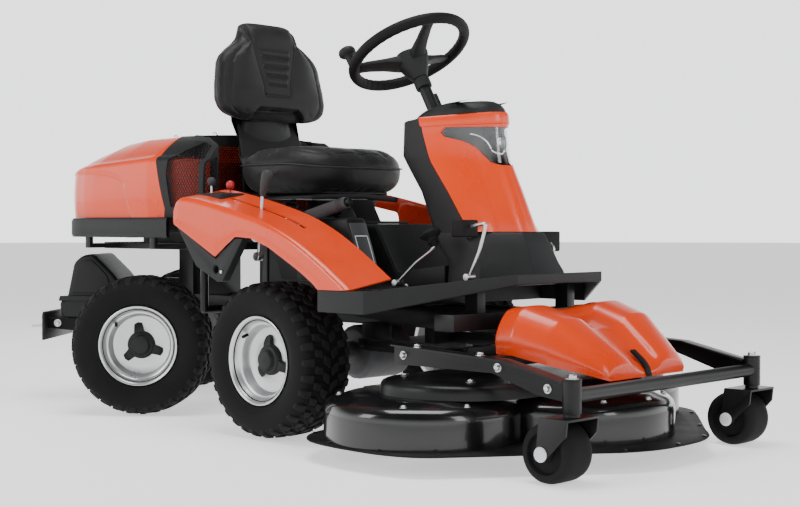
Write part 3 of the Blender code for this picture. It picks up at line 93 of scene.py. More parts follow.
# ------------------------------------------------------------------ materials
def nodes_of(name):
    material = bpy.data.materials.new(name)
    material.use_nodes = True
    tree = material.node_tree
    return material, tree, tree.nodes["Principled BSDF"]


def add(tree, kind, **values):
    node = tree.nodes.new(kind)
    for key, value in values.items():
        if key in node.inputs:
            node.inputs[key].default_value = value
        else:
            setattr(node, key, value)
    return node


def ramp(tree, source, low, high, start=0.35, end=0.65):
    node = tree.nodes.new("ShaderNodeMapRange")
    node.inputs["From Min"].default_value = start
    node.inputs["From Max"].default_value = end
    node.inputs["To Min"].default_value = low
    node.inputs["To Max"].default_value = high
    tree.links.new(source, node.inputs["Value"])
    return node.outputs["Result"]


def surface(name, colour, rough, metallic=0.0, vary=0.12, grain=0.0, grain_scale=900.0, cells=0.0,
            cell_scale=420.0, coat=0.0, dust=0.0, stretch=(1, 1, 1), sheen=0.0, spread=0.12, edge=0.0,
            gloss=0.5):
    """A finished surface: mottled colour, uneven roughness, fine bump, dust low down and a painted highlight
    on convex edges.
    """
    material, tree, shader = nodes_of(name)
    link = tree.links.new
    where = add(tree, "ShaderNodeTexCoord").outputs["Object"]
    mapping = add(tree, "ShaderNodeMapping")
    mapping.inputs["Scale"].default_value = stretch
    link(where, mapping.inputs["Vector"])
    where = mapping.outputs["Vector"]
    broad = add(tree, "ShaderNodeTexNoise", Scale=7.0, Detail=5.0, Roughness=0.6)
    fine = add(tree, "ShaderNodeTexNoise", Scale=grain_scale, Detail=2.0, Roughness=0.5)
    for node in (broad, fine):
        link(where, node.inputs["Vector"])
    mix = add(tree, "ShaderNodeMix", data_type="RGBA")
    dark = tuple(max(c * (1 - vary), 0) for c in colour)
    light = tuple(min(c * (1 + vary) + 0.001, 1) for c in colour)
    mix.inputs["A"].default_value = (*dark, 1)
    mix.inputs["B"].default_value = (*light, 1)
    link(ramp(tree, broad.outputs["Fac"], 0, 1), mix.inputs["Factor"])
    result = mix.outputs["Result"]
    if dust or edge:
        geometry = add(tree, "ShaderNodeNewGeometry")
        # painted highlight: convex edges, found by pointiness, are painted lighter
        if edge:
            edge_highlight = add(tree, "ShaderNodeMix", data_type="RGBA")
            edge_highlight.inputs["B"].default_value = tuple(min(c * 2.2 + edge, 1) for c in colour) + (1,)
            link(result, edge_highlight.inputs["A"])
            link(ramp(tree, geometry.outputs["Pointiness"], 0, 0.55, 0.52, 0.62), edge_highlight.inputs["Factor"])
            result = edge_highlight.outputs["Result"]
        if dust:
            up = add(tree, "ShaderNodeSeparateXYZ")
            link(geometry.outputs["Normal"], up.inputs["Vector"])
            share = add(tree, "ShaderNodeMath", operation="MULTIPLY")
            link(ramp(tree, up.outputs["Z"], 0, dust, 0.2, 1.0), share.inputs[0])
            link(ramp(tree, broad.outputs["Fac"], 0, 1), share.inputs[1])
            dusty = add(tree, "ShaderNodeMix", data_type="RGBA")
            dusty.inputs["B"].default_value = (0.30, 0.28, 0.25, 1)
            link(result, dusty.inputs["A"])
            link(share.outputs["Value"], dusty.inputs["Factor"])
            result = dusty.outputs["Result"]
    link(result, shader.inputs["Base Color"])
    low, high = max(rough - spread * 0.5, 0.02), min(rough + spread * 0.5, 1)
    link(ramp(tree, broad.outputs["Fac"], low, high), shader.inputs["Roughness"])
    shader.inputs["Metallic"].default_value = metallic
    shader.inputs["Specular IOR Level"].default_value = gloss
    shader.inputs["Coat Weight"].default_value = coat
    shader.inputs["Coat Roughness"].default_value = 0.06
    shader.inputs["Sheen Weight"].default_value = sheen
    normal = None
    for strength, source in ((cells, "cells"), (grain, "fine")):
        if not strength:
            continue
        if source == "cells":
            texture = add(tree, "ShaderNodeTexVoronoi", Scale=cell_scale, feature="F1")
            link(where, texture.inputs["Vector"])
            height = texture.outputs["Distance"]
        else:
            height = fine.outputs["Fac"]
        bump = add(tree, "ShaderNodeBump", Strength=strength, Distance=0.0006)
        link(height, bump.inputs["Height"])
        if normal:
            link(normal, bump.inputs["Normal"])
        normal = bump.outputs["Normal"]
    if normal:
        link(normal, shader.inputs["Normal"])
    return material


def clear(name, colour, rough, ior=1.49):
    material, tree, shader = nodes_of(name)
    shader.inputs["Base Color"].default_value = (*colour, 1)
    shader.inputs["Transmission Weight"].default_value = 1.0
    shader.inputs["IOR"].default_value = ior
    where = add(tree, "ShaderNodeTexCoord").outputs["Object"]
    haze = add(tree, "ShaderNodeTexNoise", Scale=60.0, Detail=3.0)
    tree.links.new(where, haze.inputs["Vector"])
    tree.links.new(ramp(tree, haze.outputs["Fac"], rough, rough + 0.02), shader.inputs["Roughness"])
    return material


ORANGE = surface("orange_gloss", (0.72, 0.045, 0.0), 0.30, vary=0.03, grain=0.05, grain_scale=500, coat=0.25,
                 spread=0.06, gloss=0.42)
PLASTIC = surface("plastic_textured", (0.012, 0.0124, 0.013), 0.50, vary=0.12, grain=0.35, grain_scale=1400,
                  cells=0.25, cell_scale=900, spread=0.08, gloss=0.22)
DARK_PLASTIC = surface("plastic_smooth", (0.006, 0.006, 0.0065), 0.42, vary=0.15, grain=0.2,
                       grain_scale=1200, gloss=0.25)
GRIP = surface("grip_grey", (0.030, 0.031, 0.032), 0.58, vary=0.10, grain=0.4, grain_scale=1500, gloss=0.3)
# edge paints a lighter highlight on the convex edges
STEEL_BLACK = surface("steel_black_satin", (0.006, 0.006, 0.0065), 0.36, metallic=0.2, vary=0.18, grain=0.12,
                      grain_scale=600, edge=0.01, gloss=0.28)
STEEL_DARK = surface("steel_black_rough", (0.005, 0.005, 0.0055), 0.60, metallic=0.2, vary=0.25, grain=0.4,
                     grain_scale=500, dust=0.05, gloss=0.18)
DECK_BLACK = surface("deck_gloss", (0.005, 0.005, 0.0055), 0.20, vary=0.2, grain=0.08, grain_scale=260,
                     coat=0.5, spread=0.10, dust=0.012, gloss=0.35)
# edge paints a lighter highlight on the convex edges
RUBBER = surface("tyre_rubber", (0.006, 0.006, 0.006), 0.70, vary=0.25, grain=0.3, grain_scale=700,
                 edge=0.01, gloss=0.12)
SOFT_RUBBER = surface("rubber_black", (0.005, 0.005, 0.005), 0.60, vary=0.15, grain=0.35, grain_scale=1100,
                      gloss=0.15)
VINYL = surface("vinyl_black", (0.0050, 0.0050, 0.0053), 0.46, vary=0.12, grain=0.25, grain_scale=700,
                cells=0.45, cell_scale=520, sheen=0.05, gloss=0.24)
THREAD = surface("thread_black", (0.022, 0.022, 0.023), 0.75, vary=0.3, grain=0.8, grain_scale=2500)
SILVER = surface("wheel_silver", (0.56, 0.565, 0.57), 0.30, metallic=0.75, vary=0.05, grain=0.10,
                 grain_scale=900, spread=0.10)
ZINC = surface("zinc_rod", (0.52, 0.53, 0.54), 0.28, metallic=1.0, vary=0.10, grain=0.15, grain_scale=800,
               stretch=(1, 1, 0.2))
BRUSHED = surface("brushed_arm", (0.45, 0.46, 0.47), 0.34, metallic=1.0, vary=0.12, grain=0.35,
                  grain_scale=600, stretch=(0.15, 1, 1))
CAST = surface("cast_alloy", (0.12, 0.12, 0.125), 0.60, metallic=0.6, vary=0.22, grain=0.7, grain_scale=260,
               dust=0.08)
RED = surface("knob_red", (0.40, 0.010, 0.012), 0.36, vary=0.08, grain=0.15)
PALE = surface("cap_pale", (0.62, 0.63, 0.65), 0.40, vary=0.05, grain=0.1)
YELLOW = surface("sticker_yellow", (0.80, 0.55, 0.02), 0.42, vary=0.05, grain=0.05)
BOARD = surface("label_board", (0.045, 0.047, 0.050), 0.38, vary=0.08, grain=0.1)
GUARD = surface("guard_orange", (0.45, 0.022, 0.0), 0.45, vary=0.15, grain=0.2, gloss=0.3)
LENS = clear("lens_clear", (0.96, 0.97, 0.98), 0.01)
MIRROR = surface("lamp_chrome", (0.75, 0.76, 0.78), 0.10, metallic=1.0, vary=0.03, grain=0.02)
BULB = clear("projector_glass", (0.75, 0.80, 0.86), 0.0, 1.52)


# ------------------------------------------------------------------ shapes
def join(*shapes):
    points, faces = [], []
    for more, sides in shapes:
        start = len(points)
        points += [tuple(p) for p in more]
        faces += [[i + start for i in side] for side in sides]
    return points, faces


def moved(shape, matrix):
    return [tuple(matrix @ Vector(p)) for p in shape[0]], shape[1]


def flipped(shape):
    """The same shape on the other side of the centre plane."""
    return [(x, -y, z) for x, y, z in shape[0]], [list(reversed(side)) for side in shape[1]]




def loft(rings, caps=True, closed=True, loop=False):
    """Skin through rings of equal count; closed rings, or open strips; loop joins the last to the first."""
    count = len(rings[0])
    points = [tuple(p) for ring in rings for p in ring]
    faces = []
    pairs = [(i, i + 1) for i in range(len(rings) - 1)] + ([(len(rings) - 1, 0)] if loop else [])
    for a, b in pairs:
        for i in range(count if closed else count - 1):
            j = (i + 1) % count
            faces.append([a * count + i, a * count + j, b * count + j, b * count + i])
    if caps and closed and not loop:
        faces.append(list(reversed(range(count))))
        faces.append(list(range(len(points) - count, len(points))))
    return points, faces


def prism(outline, axis, low, high):
    place = {"x": lambda a, b, c: (c, a, b), "y": lambda a, b, c: (a, c, b), "z": lambda a, b,
             c: (a, b, c)}[axis]
    return loft([[place(a, b, c) for a, b in outline] for c in (low, high)])


def box(low, high):
    outline = [(low[0], low[1]), (high[0], low[1]), (high[0], high[1]), (low[0], high[1])]
    return prism(outline, "z", low[2], high[2])


def basis(axis):
    axis = Vector(axis).normalized()
    side = axis.cross(Vector((0, 0, 1)) if abs(axis.z) < 0.9 else Vector((1, 0, 0))).normalized()
    return side, axis.cross(side).normalized(), axis


def turned(profile, centre, axis, sides=48):
    """A profile of (radius, height) turned round an axis; radius 0 closes it on the axis."""
    side, up, along = basis(axis)
    centre = Vector(centre)
    rings = []
    for radius, height in profile:
        radius = max(radius, 1e-5)
        angles = [2 * PI * i / sides for i in range(sides)]
        rings.append([tuple(centre + along * height + (side * math.cos(a) + up * math.sin(a)) * radius)
                      for a in angles])
    open_ended = profile[0][0] == 0
    return loft(rings, caps=open_ended, loop=not open_ended)


def rod(start, end, radius, sides=20, round_by=0.0):
    start, end = Vector(start), Vector(end)
    length = (end - start).length
    r = min(round_by, radius * 0.9, length * 0.4)
    if not r:
        return turned([(0, 0), (radius, 0), (radius, length), (0, length)], start, end - start, sides)
    steps = [(radius - r + r * math.sin(a), r - r * math.cos(a)) for a in (0, PI / 8, PI / 4, 3 * PI / 8,
                                                                           PI / 2)]
    profile = [(0, 0)] + steps + [(x, length - y) for x, y in reversed(steps)] + [(0, length)]
    return turned(profile, start, end - start, sides)


def smooth_path(points, steps=6, closed=False):
    """A Catmull-Rom curve through points."""
    points = [Vector(p) for p in points]
    count = len(points)
    found = []
    for i in range(count if closed else count - 1):
        if closed:
            a, b, c, d = (points[(i + k) % count] for k in (-1, 0, 1, 2))
        else:
            a, b, c, d = (points[min(max(i + k, 0), count - 1)] for k in (-1, 0, 1, 2))
        for k in range(steps):
            t = k / steps
            found.append(0.5 * (2 * b + (c - a) * t + (2 * a - 5 * b + 4 * c - d) * t * t
                                + (3 * b - a - 3 * c + d) * t ** 3))
    if not closed:
        found.append(points[-1])
    return found


def tube(path, radius, sides=14, closed=False):
    path = [Vector(p) for p in path]
    count = len(path)
    radii = radius if isinstance(radius, (list, tuple)) else [radius] * count
    side = basis(path[1] - path[0])[0]
    rings = []
    for i, point in enumerate(path):
        if closed:
            ahead = (path[(i + 1) % count] - path[i - 1]).normalized()
        else:
            ahead = (path[min(i + 1, count - 1)] - path[max(i - 1, 0)]).normalized()
        side = (side - ahead * side.dot(ahead)).normalized()
        up = ahead.cross(side)
        angles = [2 * PI * k / sides for k in range(sides)]
        rings.append([tuple(point + (side * math.cos(a) + up * math.sin(a)) * radii[i]) for a in angles])
    return loft(rings, caps=not closed, loop=closed)


def bolt(place, axis, size=0.008, washer=True):
    """A hexagon head on a washer."""
    place, axis = Vector(place), Vector(axis).normalized()
    head = turned([(0, 0), (size, 0), (size, size * 0.75), (size * 0.8, size * 0.95), (0, size * 0.95)],
                  place, axis, 6)
    if not washer:
        return head
    ring = turned([(0, -0.0005), (size * 1.45, -0.0005), (size * 1.45, 0.0012), (0, 0.0012)], place, axis, 20)
    return join(head, ring)


# ------------------------------------------------------------------ pieces
def piece(name, shape, material, body, at=HERE, bevel=0.0, parts=2, sub=0, wall=0.0, angle=38, stands_for=(),
          weld=1e-5):
    """One visible object. Its modifiers are applied."""
    points, faces = shape
    mesh = bpy.data.meshes.new(name)
    mesh.from_pydata([tuple(p) for p in points], [], faces)
    work = bmesh.new()
    work.from_mesh(mesh)
    bmesh.ops.remove_doubles(work, verts=work.verts, dist=weld)
    bmesh.ops.dissolve_degenerate(work, dist=1e-6, edges=work.edges)
    bmesh.ops.recalc_face_normals(work, faces=work.faces)
    work.to_mesh(mesh)
    work.free()
    mesh.transform(at)
    obj = bpy.data.objects.new(name, mesh)
    bpy.context.scene.collection.objects.link(obj)
    obj.data.materials.append(material)
    if wall:
        thick = obj.modifiers.new("wall", "SOLIDIFY")
        thick.thickness = abs(wall)
        thick.offset = -1 if wall > 0 else 1
        thick.use_even_offset = True
        thick.thickness_clamp = 1.0
    if bevel:
        edge = obj.modifiers.new("edge", "BEVEL")
        edge.width = bevel
        edge.segments = parts
        edge.limit_method = "ANGLE"
        edge.angle_limit = EDGE_ANGLE
        edge.use_clamp_overlap = True
    if sub:
        fine = obj.modifiers.new("fine", "SUBSURF")
        fine.levels = fine.render_levels = sub
    settle(obj, angle)
    if stands_for:
        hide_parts(*stands_for)
    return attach(obj, body)


def settle(obj, angle=38):
    """Applies an object's modifiers and shades it."""
    if obj.modifiers:
        bpy.context.view_layer.update()
        graph = bpy.context.evaluated_depsgraph_get()
        made = bpy.data.meshes.new_from_object(obj.evaluated_get(graph), depsgraph=graph)
        obj.modifiers.clear()
        obj.data = made
    obj.data.shade_smooth()
    obj.data.set_sharp_from_angle(angle=math.radians(angle))


def cut(obj, *shapes, at=HERE, angle=38):
    """Takes shapes out of a piece."""
    for shape in shapes:
        points, faces = moved(shape, at)
        mesh = bpy.data.meshes.new("cutter")
        mesh.from_pydata(points, [], faces)
        work = bmesh.new()
        work.from_mesh(mesh)
        bmesh.ops.remove_doubles(work, verts=work.verts, dist=1e-6)
        bmesh.ops.recalc_face_normals(work, faces=work.faces)
        work.to_mesh(mesh)
        work.free()
        cutter = bpy.data.objects.new("cutter", mesh)
        bpy.context.scene.collection.objects.link(cutter)
        boolean = obj.modifiers.new("cut", "BOOLEAN")
        boolean.operation = "DIFFERENCE"
        boolean.solver = "EXACT"
        boolean.object = cutter
        settle(obj, angle)
        bpy.data.objects.remove(cutter, do_unlink=True)
    return obj


def dress(node, material, body, bevel=0.003, parts=2):
    """The CAD node's own shape with rounded edges."""
    source = frame["nodes"][node]
    work = bmesh.new()
    work.from_mesh(source.data)
    bmesh.ops.remove_doubles(work, verts=work.verts, dist=1e-5)
    bmesh.ops.dissolve_limit(work, angle_limit=math.radians(1.5), verts=work.verts, edges=work.edges)
    points = [tuple(v.co) for v in work.verts]
    work.verts.index_update()
    faces = [[v.index for v in face.verts] for face in work.faces]
    work.free()
    return piece(f"{node}_skin", (points, faces), material, body, at=Matrix.Identity(4), bevel=bevel,
                 parts=parts, angle=40, stands_for=(node,))




def look(node, material):
    """A CAD node whose shape is right keeps it and gets a better material."""
    mesh = frame["nodes"][node].data
    for number in range(len(mesh.materials)):
        mesh.materials[number] = material


def resampled(path, count):
    """Points evenly spaced along a path."""
    path = [Vector(p) for p in path]
    reach = [0.0]
    for a, b in zip(path, path[1:]):
        reach.append(reach[-1] + (b - a).length)
    found = []
    k = 0
    for i in range(count):
        target = reach[-1] * i / (count - 1)
        while k < len(path) - 2 and reach[k + 1] < target:
            k += 1
        span = max(reach[k + 1] - reach[k], 1e-9)
        found.append(path[k].lerp(path[k + 1], min((target - reach[k]) / span, 1)))
    return found


def between(table, value):
    """Linear interpolation in a table of (key, result)."""
    for (a, fa), (b, fb) in zip(table, table[1:]):
        if value <= b:
            t = min(max((value - a) / (b - a), 0), 1)
            return fa + (fb - fa) * t
    return table[-1][1]


def step(low, high, value):
    t = min(max((value - low) / (high - low), 0), 1)
    return t * t * (3 - 2 * t)


TOP = 0.340
BODY_OUT = HALF_TRACK + TYRE_HALF
FENDER_IN = HALF_TRACK - TYRE_HALF + 0.020


# ------------------------------------------------------------------ wheels
TREAD = [(0.0, 0.1968), (0.040, 0.1962), (0.060, 0.1942), (0.070, 0.1908), (0.078, 0.1850), (0.083, 0.1760)]


def lug(stations, x, y0, height):
    """A tread block over (near angle, far angle, place across) stations."""
    rings = []
    for near, far, across in stations:
        base = between(TREAD, abs(across)) - 0.004
        over = between(TREAD, abs(across)) + height
        inset = (far - near) * 0.07
        corners = ((near, base), (far, base), (far - inset, over), (near + inset, over))
        rings.append([(x + r * math.cos(a), y0 + across, TYRE_R + r * math.sin(a)) for a, r in corners])
    return loft(rings)


def wheel(name, x, side, at):
    body = f"{name}_wheel"
    y0 = side * HALF_TRACK
    centre, out = (x, y0, TYRE_R), (0, side, 0)
    wall = [(0.1040, 0.0655), (0.1150, 0.0660), (0.1190, 0.0700), (0.1240, 0.0740), (0.1280, 0.0745),
            (0.1310, 0.0770), (0.1480, 0.0825), (0.1640, 0.0838), (0.1760, 0.0820), (0.1850, 0.0770),
            (0.1908, 0.0695), (0.1942, 0.0590), (0.1962, 0.0400), (0.1968, 0.0150)]
    profile = wall + [(r, -h) for r, h in reversed(wall)]
    profile += [(0.1060, -0.0540), (0.1700, -0.0640), (0.1840, -0.0400), (0.1840, 0.0400), (0.1700, 0.0640),
                (0.1060, 0.0540)]
    carcass = turned(profile, centre, out, 96)
    blocks = []
    count = 30
    for i in range(count):
        a = 2 * PI * i / count
        wide = 2 * PI / count
        for s in (1, -1):
            turn = 0.25 * wide if s > 0 else -0.25 * wide
            first = a + turn
            blocks.append(lug([(first, first + 0.60 * wide, s * 0.004),
                               (first + 0.34 * wide, first + 0.86 * wide,
                                                                        s * 0.024)], x, y0, 0.0064))
            first = a + turn + 0.62 * wide
            blocks.append(lug([(first, first + 0.52 * wide, s * 0.029),
                               (first + 0.12 * wide, first + 0.60 * wide,
                                                                        s * 0.050)], x, y0, 0.0066))
            first = a + turn + 0.12 * wide
            stations = [(first, first + 0.58 * wide, s * 0.0545),
                        (first + 0.02 * wide, first + 0.58 * wide, s * 0.068),
                        (first + 0.06 * wide, first + 0.54 * wide, s * 0.0765), (first + 0.10 * wide,
                                                                                 first + 0.50 * wide,
                                                                                 s * 0.0805)]
            blocks.append(lug(stations, x, y0, 0.0050))
    piece(f"{name}_tyre_carcass", carcass, RUBBER, body, at, stands_for=(f"{name}_tyre",),
          angle=50)
    piece(f"{name}_tyre_tread", join(*blocks), RUBBER, body, at, bevel=0.0012, parts=1,
          weld=1e-6)

    face = [(0.1155, 0.0705), (0.1155, 0.0728), (0.1140, 0.0735), (0.1105, 0.0722), (0.1075, 0.0690),
            (0.1040, 0.0600),
            (0.1010, 0.0540), (0.0975, 0.0505), (0.0930, 0.0490), (0.0905, 0.0455), (0.0885, 0.0330),
            (0.0840, 0.0262),
            (0.0700, 0.0215), (0.0520, 0.0205), (0.0440, 0.0235), (0.0340, 0.0240), (0.0320, 0.0225),
            (0.0140, 0.0225),
            (0.0140, -0.0040), (0.0840, -0.0040), (0.0860, -0.0300), (0.1000, -0.0560), (0.1060, -0.0700),
            (0.1155, -0.0722), (0.1155, -0.0690), (0.1080, -0.0660), (0.1030, -0.0560), (0.0940, -0.0420),
            (0.0940, 0.0420), (0.1030, 0.0560), (0.1080, 0.0660)]
    rim = turned(face, centre, out, 72)
    piece(f"{name}_rim_dish", rim, SILVER, body, at, stands_for=(f"{name}_rim",), angle=32)
    arms = []
    for k in range(3):
        a = math.radians(100 + 120 * k)
        c, s = math.cos(a), math.sin(a)
        plan = [(0.020, -0.019), (0.046, -0.0135), (0.064, -0.0125), (0.068, 0.0), (0.064, 0.0125),
                (0.046, 0.0135), (0.020, 0.019)]
        rings = []
        for height, keep in ((0.0215, 1.0), (0.0330, 0.97), (0.0375, 0.88)):
            rings.append([(x + (u * c - v * keep * s) * (keep if u > 0.05 else 1),
                           y0 + side * (height - max(u - 0.040, 0) * 0.35),
                           TYRE_R + (u * s + v * keep * c) * (keep if u > 0.05 else 1)) for u, v in plan])
        arms.append(loft(rings))
    hub = turned([(0, 0.0215), (0.041, 0.0215), (0.040, 0.0330), (0.036, 0.0385), (0.029, 0.0400),
                  (0.027, 0.0475), (0.024, 0.0510), (0.0, 0.0530)], centre, out, 48)
    piece(f"{name}_hub_cover", join(*arms), DARK_PLASTIC, body, at, bevel=0.0022)
    piece(f"{name}_hub_cap", hub, DARK_PLASTIC, body, at, bevel=0.0012)
    stem = math.radians(138)
    foot = Vector((x + 0.094 * math.cos(stem), y0 + side * 0.046, TYRE_R + 0.094 * math.sin(stem)))
    tip = foot + Vector((-0.008 * math.cos(stem), side * 0.022, -0.008 * math.sin(stem)))
    piece(f"{name}_valve", rod(foot, tip, 0.0042, 14, 0.001), SOFT_RUBBER, body, at)


for wheel_name, wheel_x, wheel_side, wheel_at in (("front_right", 0, -1, HERE), ("front_left", 0, 1, HERE),
                                                  ("rear_right", REAR_X, -1, REAR),
                                                  ("rear_left", REAR_X, 1, REAR)):
    wheel(wheel_name, wheel_x, wheel_side, wheel_at)


# ------------------------------------------------------------------ rear carriage
dress("rear_carriage", STEEL_DARK, "rear_carriage", 0.0025)
AXLE_Z = TYRE_R
TOW_X = PIVOT_X - 0.445
tail = [(-0.403, -0.0755), (-0.408, -0.026), (-0.383, -0.012), (-0.361, 0.096), (-0.335, 0.118),
        (-0.301, 0.124), (-0.240, 0.064), (-0.205, 0.020), (-0.200, -0.0755)]
tail = [(PIVOT_X + x, TOP + z) for x, z in tail]
piece("rear_housing_shell", prism(tail, "y", -0.120, 0.120), PLASTIC, "rear_carriage", REAR, bevel=0.012,
      parts=4, stands_for=("rear_housing",))
panel = [(-0.366, 0.004), (-0.348, 0.088), (-0.328, 0.104), (-0.303, 0.108), (-0.256, 0.060), (-0.236, 0.004)]
panel = [(PIVOT_X + x, TOP + z - 0.002) for x, z in panel]
for side, tag in ((-1, "right"), (1, "left")):
    sides = sorted((side * 0.1185, side * 0.1235))
    piece(f"rear_panel_{tag}", prism(panel, "y", *sides), DARK_PLASTIC, "rear_carriage", REAR, bevel=0.0022,
          parts=3)
    ledge = [(TOW_X + 0.037, TOP - 0.024), (TOW_X + 0.041, TOP - 0.008), (PIVOT_X - 0.206, TOP - 0.004),
             (PIVOT_X - 0.202, TOP - 0.024)]
    sides = sorted((side * 0.112, side * 0.127))
    piece(f"rear_ledge_{tag}", prism(ledge, "y", *sides), PLASTIC, "rear_carriage", REAR, bevel=0.003,
          parts=3)
tow = TOW_X - 0.0003
piece("tow_plate_back", prism([(-0.150, AXLE_Z - 0.008), (0.150, AXLE_Z - 0.008), (0.150, AXLE_Z + 0.072),
                               (0.140, AXLE_Z + 0.080), (-0.140, AXLE_Z + 0.080), (-0.150, AXLE_Z + 0.072)],
                              "x", tow - 0.008, tow), STEEL_BLACK, "rear_carriage", REAR, bevel=0.0015,
      stands_for=("tow_plate",))
tongue = prism([(tow - 0.082, -0.020), (tow - 0.070, -0.032), (tow - 0.004, -0.032), (tow - 0.004, 0.032),
                (tow - 0.070, 0.032), (tow - 0.082, 0.020)], "z", AXLE_Z + 0.024, AXLE_Z + 0.031)
tongue = piece("tow_tongue", tongue, ZINC, "rear_carriage", REAR)
cut(tongue, rod((tow - 0.060, 0, AXLE_Z), (tow - 0.060, 0, AXLE_Z + 0.05), 0.0095, 32), at=REAR)
heads = [bolt((tow - 0.008, y, AXLE_Z + z), (-1, 0, 0),
              0.007) for y in (-0.125, 0.125) for z in (0.012, 0.060)]
heads += [bolt((x, s * 0.112, AXLE_Z + 0.043), (0, s, 0),
               0.008) for s in (1, -1) for x in (TOW_X + 0.03, TOW_X + 0.20)]
piece("rear_bolts", join(*heads), ZINC, "rear_carriage", REAR, bevel=0.0006, parts=1)

# ------------------------------------------------------------------ frame, engine, tank
dress("main_frame", STEEL_BLACK, "chassis", 0.0025)
dress("engine", CAST, "chassis", 0.004)
dress("fuel_tank", PLASTIC, "chassis", 0.006, 3)
dress("front_axle", CAST, "chassis", 0.003)
dress("seat_bracket", STEEL_BLACK, "chassis", 0.0015)
look("seat_spring_right", STEEL_BLACK)
look("seat_spring_left", STEEL_BLACK)
BED = TOP + 0.160
fins = []
for k in range(9):
    z = BED + 0.038 + k * 0.0095
    for side in (1, -1):
        near, far = sorted((side * 0.150, side * 0.238))
        fins.append(box((REAR_X + 0.072, near, z), (REAR_X + 0.208, far, z + 0.0035)))
piece("engine_fins", join(*fins), CAST, "chassis", bevel=0.0008, parts=1)
fan = Vector((REAR_X + 0.140, 0, BED + 0.205))
slats = [turned([(r, 0), (r + 0.004, 0), (r + 0.004, 0.004), (r, 0.004)], fan, (0, 0, 1), 40)
         for r in (0.025, 0.045, 0.065, 0.085, 0.105)]
piece("engine_screen", join(*slats), DARK_PLASTIC, "chassis")

# skirt with rounded corners and a step
SKIRT_REAR, SKIRT_FRONT, SKIRT_OUT = REAR_X - 0.182, REAR_X + 0.385, 0.342
corner = [(SKIRT_FRONT, -SKIRT_OUT), (SKIRT_REAR + 0.130, -SKIRT_OUT),
          (SKIRT_REAR + 0.070, -SKIRT_OUT + 0.010),
          (SKIRT_REAR + 0.028, -SKIRT_OUT + 0.042), (SKIRT_REAR + 0.006, -SKIRT_OUT + 0.090),
          (SKIRT_REAR, -SKIRT_OUT + 0.150)]
corner = [corner[0]] + [tuple(p)[:2] for p in smooth_path([(x, y, 0) for x, y in corner[1:]], 5)]
loop = corner + [(x, -y) for x, y in reversed(corner)]


def skirt_ring(shrink, z):
    return [(x + (shrink if x < SKIRT_FRONT - 0.05 else 0), y * (1 - shrink / SKIRT_OUT), z) for x, y in loop]


rings = [skirt_ring(0.012, TOP + 0.177), skirt_ring(0.003, TOP + 0.176), skirt_ring(0.0, TOP + 0.184),
         skirt_ring(0.0, TOP + 0.226), skirt_ring(0.004, TOP + 0.2345), skirt_ring(0.0135, TOP + 0.2345)]
points, faces = loft(rings, caps=False, closed=False, loop=True)
piece("body_skirt_rail", (points, faces), PLASTIC, "chassis", stands_for=("body_skirt",),
      bevel=0.001, angle=50)

# ------------------------------------------------------------------ fenders
F_TOP = [(-0.335, 0.255), (-0.305, 0.286), (-0.165, 0.266), (0.020, 0.222), (0.130, 0.182), (0.225, 0.132),
         (0.300, 0.085), (0.345, 0.0553)]
F_LOW = [(-0.330, 0.216), (-0.155, 0.130), (-0.075, 0.184), (-0.010, 0.181), (0.060, 0.158), (0.137, 0.120),
         (0.180, 0.098), (0.224, 0.072), (0.2450, 0.0553)]


def fender_skin():
    """The right fender: its side face, its rounded shoulder and its deck, station by station."""
    high = smooth_path([(x, 0, z) for x, z in F_TOP], 5)
    low = [Vector((x, 0, z)) for x, z in F_LOW]
    low = resampled(low, 60)
    high = resampled(high, 60)
    strips = []
    width = BODY_OUT - FENDER_IN
    for a, b in zip(low, high):
        strip = []
        rise = (b - a)
        for share, inset in ((0.0, 0.0015), (0.10, 0.0), (0.45, 0.0), (0.70, 0.0012)):
            p = a + rise * share
            strip.append((p.x, -(BODY_OUT - inset), TOP + p.z))
        unit = rise.normalized()
        for k in range(6):
            angle = PI / 2 * k / 5
            r = 0.014
            p = b - unit * (r * (1 - math.sin(angle)))
            strip.append((p.x, -(BODY_OUT - 0.0012 - r * (1 - math.cos(angle))), TOP + p.z))
        for share in (0.3, 0.6, 1.0):
            strip.append((b.x, -(BODY_OUT - 0.015 - (width - 0.015) * share), TOP + b.z + 0.022 * share))
        strips.append(strip)
    return loft(strips, caps=False, closed=False)


for side, tag in ((-1, "right"), (1, "left")):
    shape = fender_skin() if side < 0 else flipped(fender_skin())
    skin = piece(f"fender_{tag}_skin", shape, ORANGE, "chassis", wall=-0.004 if side < 0 else -0.004,
                 stands_for=(f"fender_{tag}",), angle=35)
    if side < 0:
        cut(skin, box((-0.190, -(BODY_OUT - 0.075), TOP + 0.10), (0.110, -(BODY_OUT - 0.087), TOP + 0.40)),
            box((-0.300, -(BODY_OUT - 0.060), TOP + 0.20), (-0.205, -(BODY_OUT - 0.130), TOP + 0.40)),
            angle=35)
    dress(f"lower_panel_{tag}", PLASTIC, "chassis", 0.005, 3)
console = loft([[(x, y, TOP + z) for x, y in ((-0.312, -(BODY_OUT - 0.052)), (-0.196, -(BODY_OUT - 0.052)),
                                             (-0.196, -(BODY_OUT - 0.138)), (-0.312, -(BODY_OUT - 0.138)))]
                for z in (0.262, 0.300)])
console = piece("lever_console", console, PLASTIC, "chassis", bevel=0.006, parts=3)
cut(console, box((-0.302, -(BODY_OUT - 0.080), TOP + 0.20), (-0.254, -(BODY_OUT - 0.092), TOP + 0.40)),
    box((-0.256, -(BODY_OUT - 0.108), TOP + 0.20), (-0.208, -(BODY_OUT - 0.120), TOP + 0.40)))


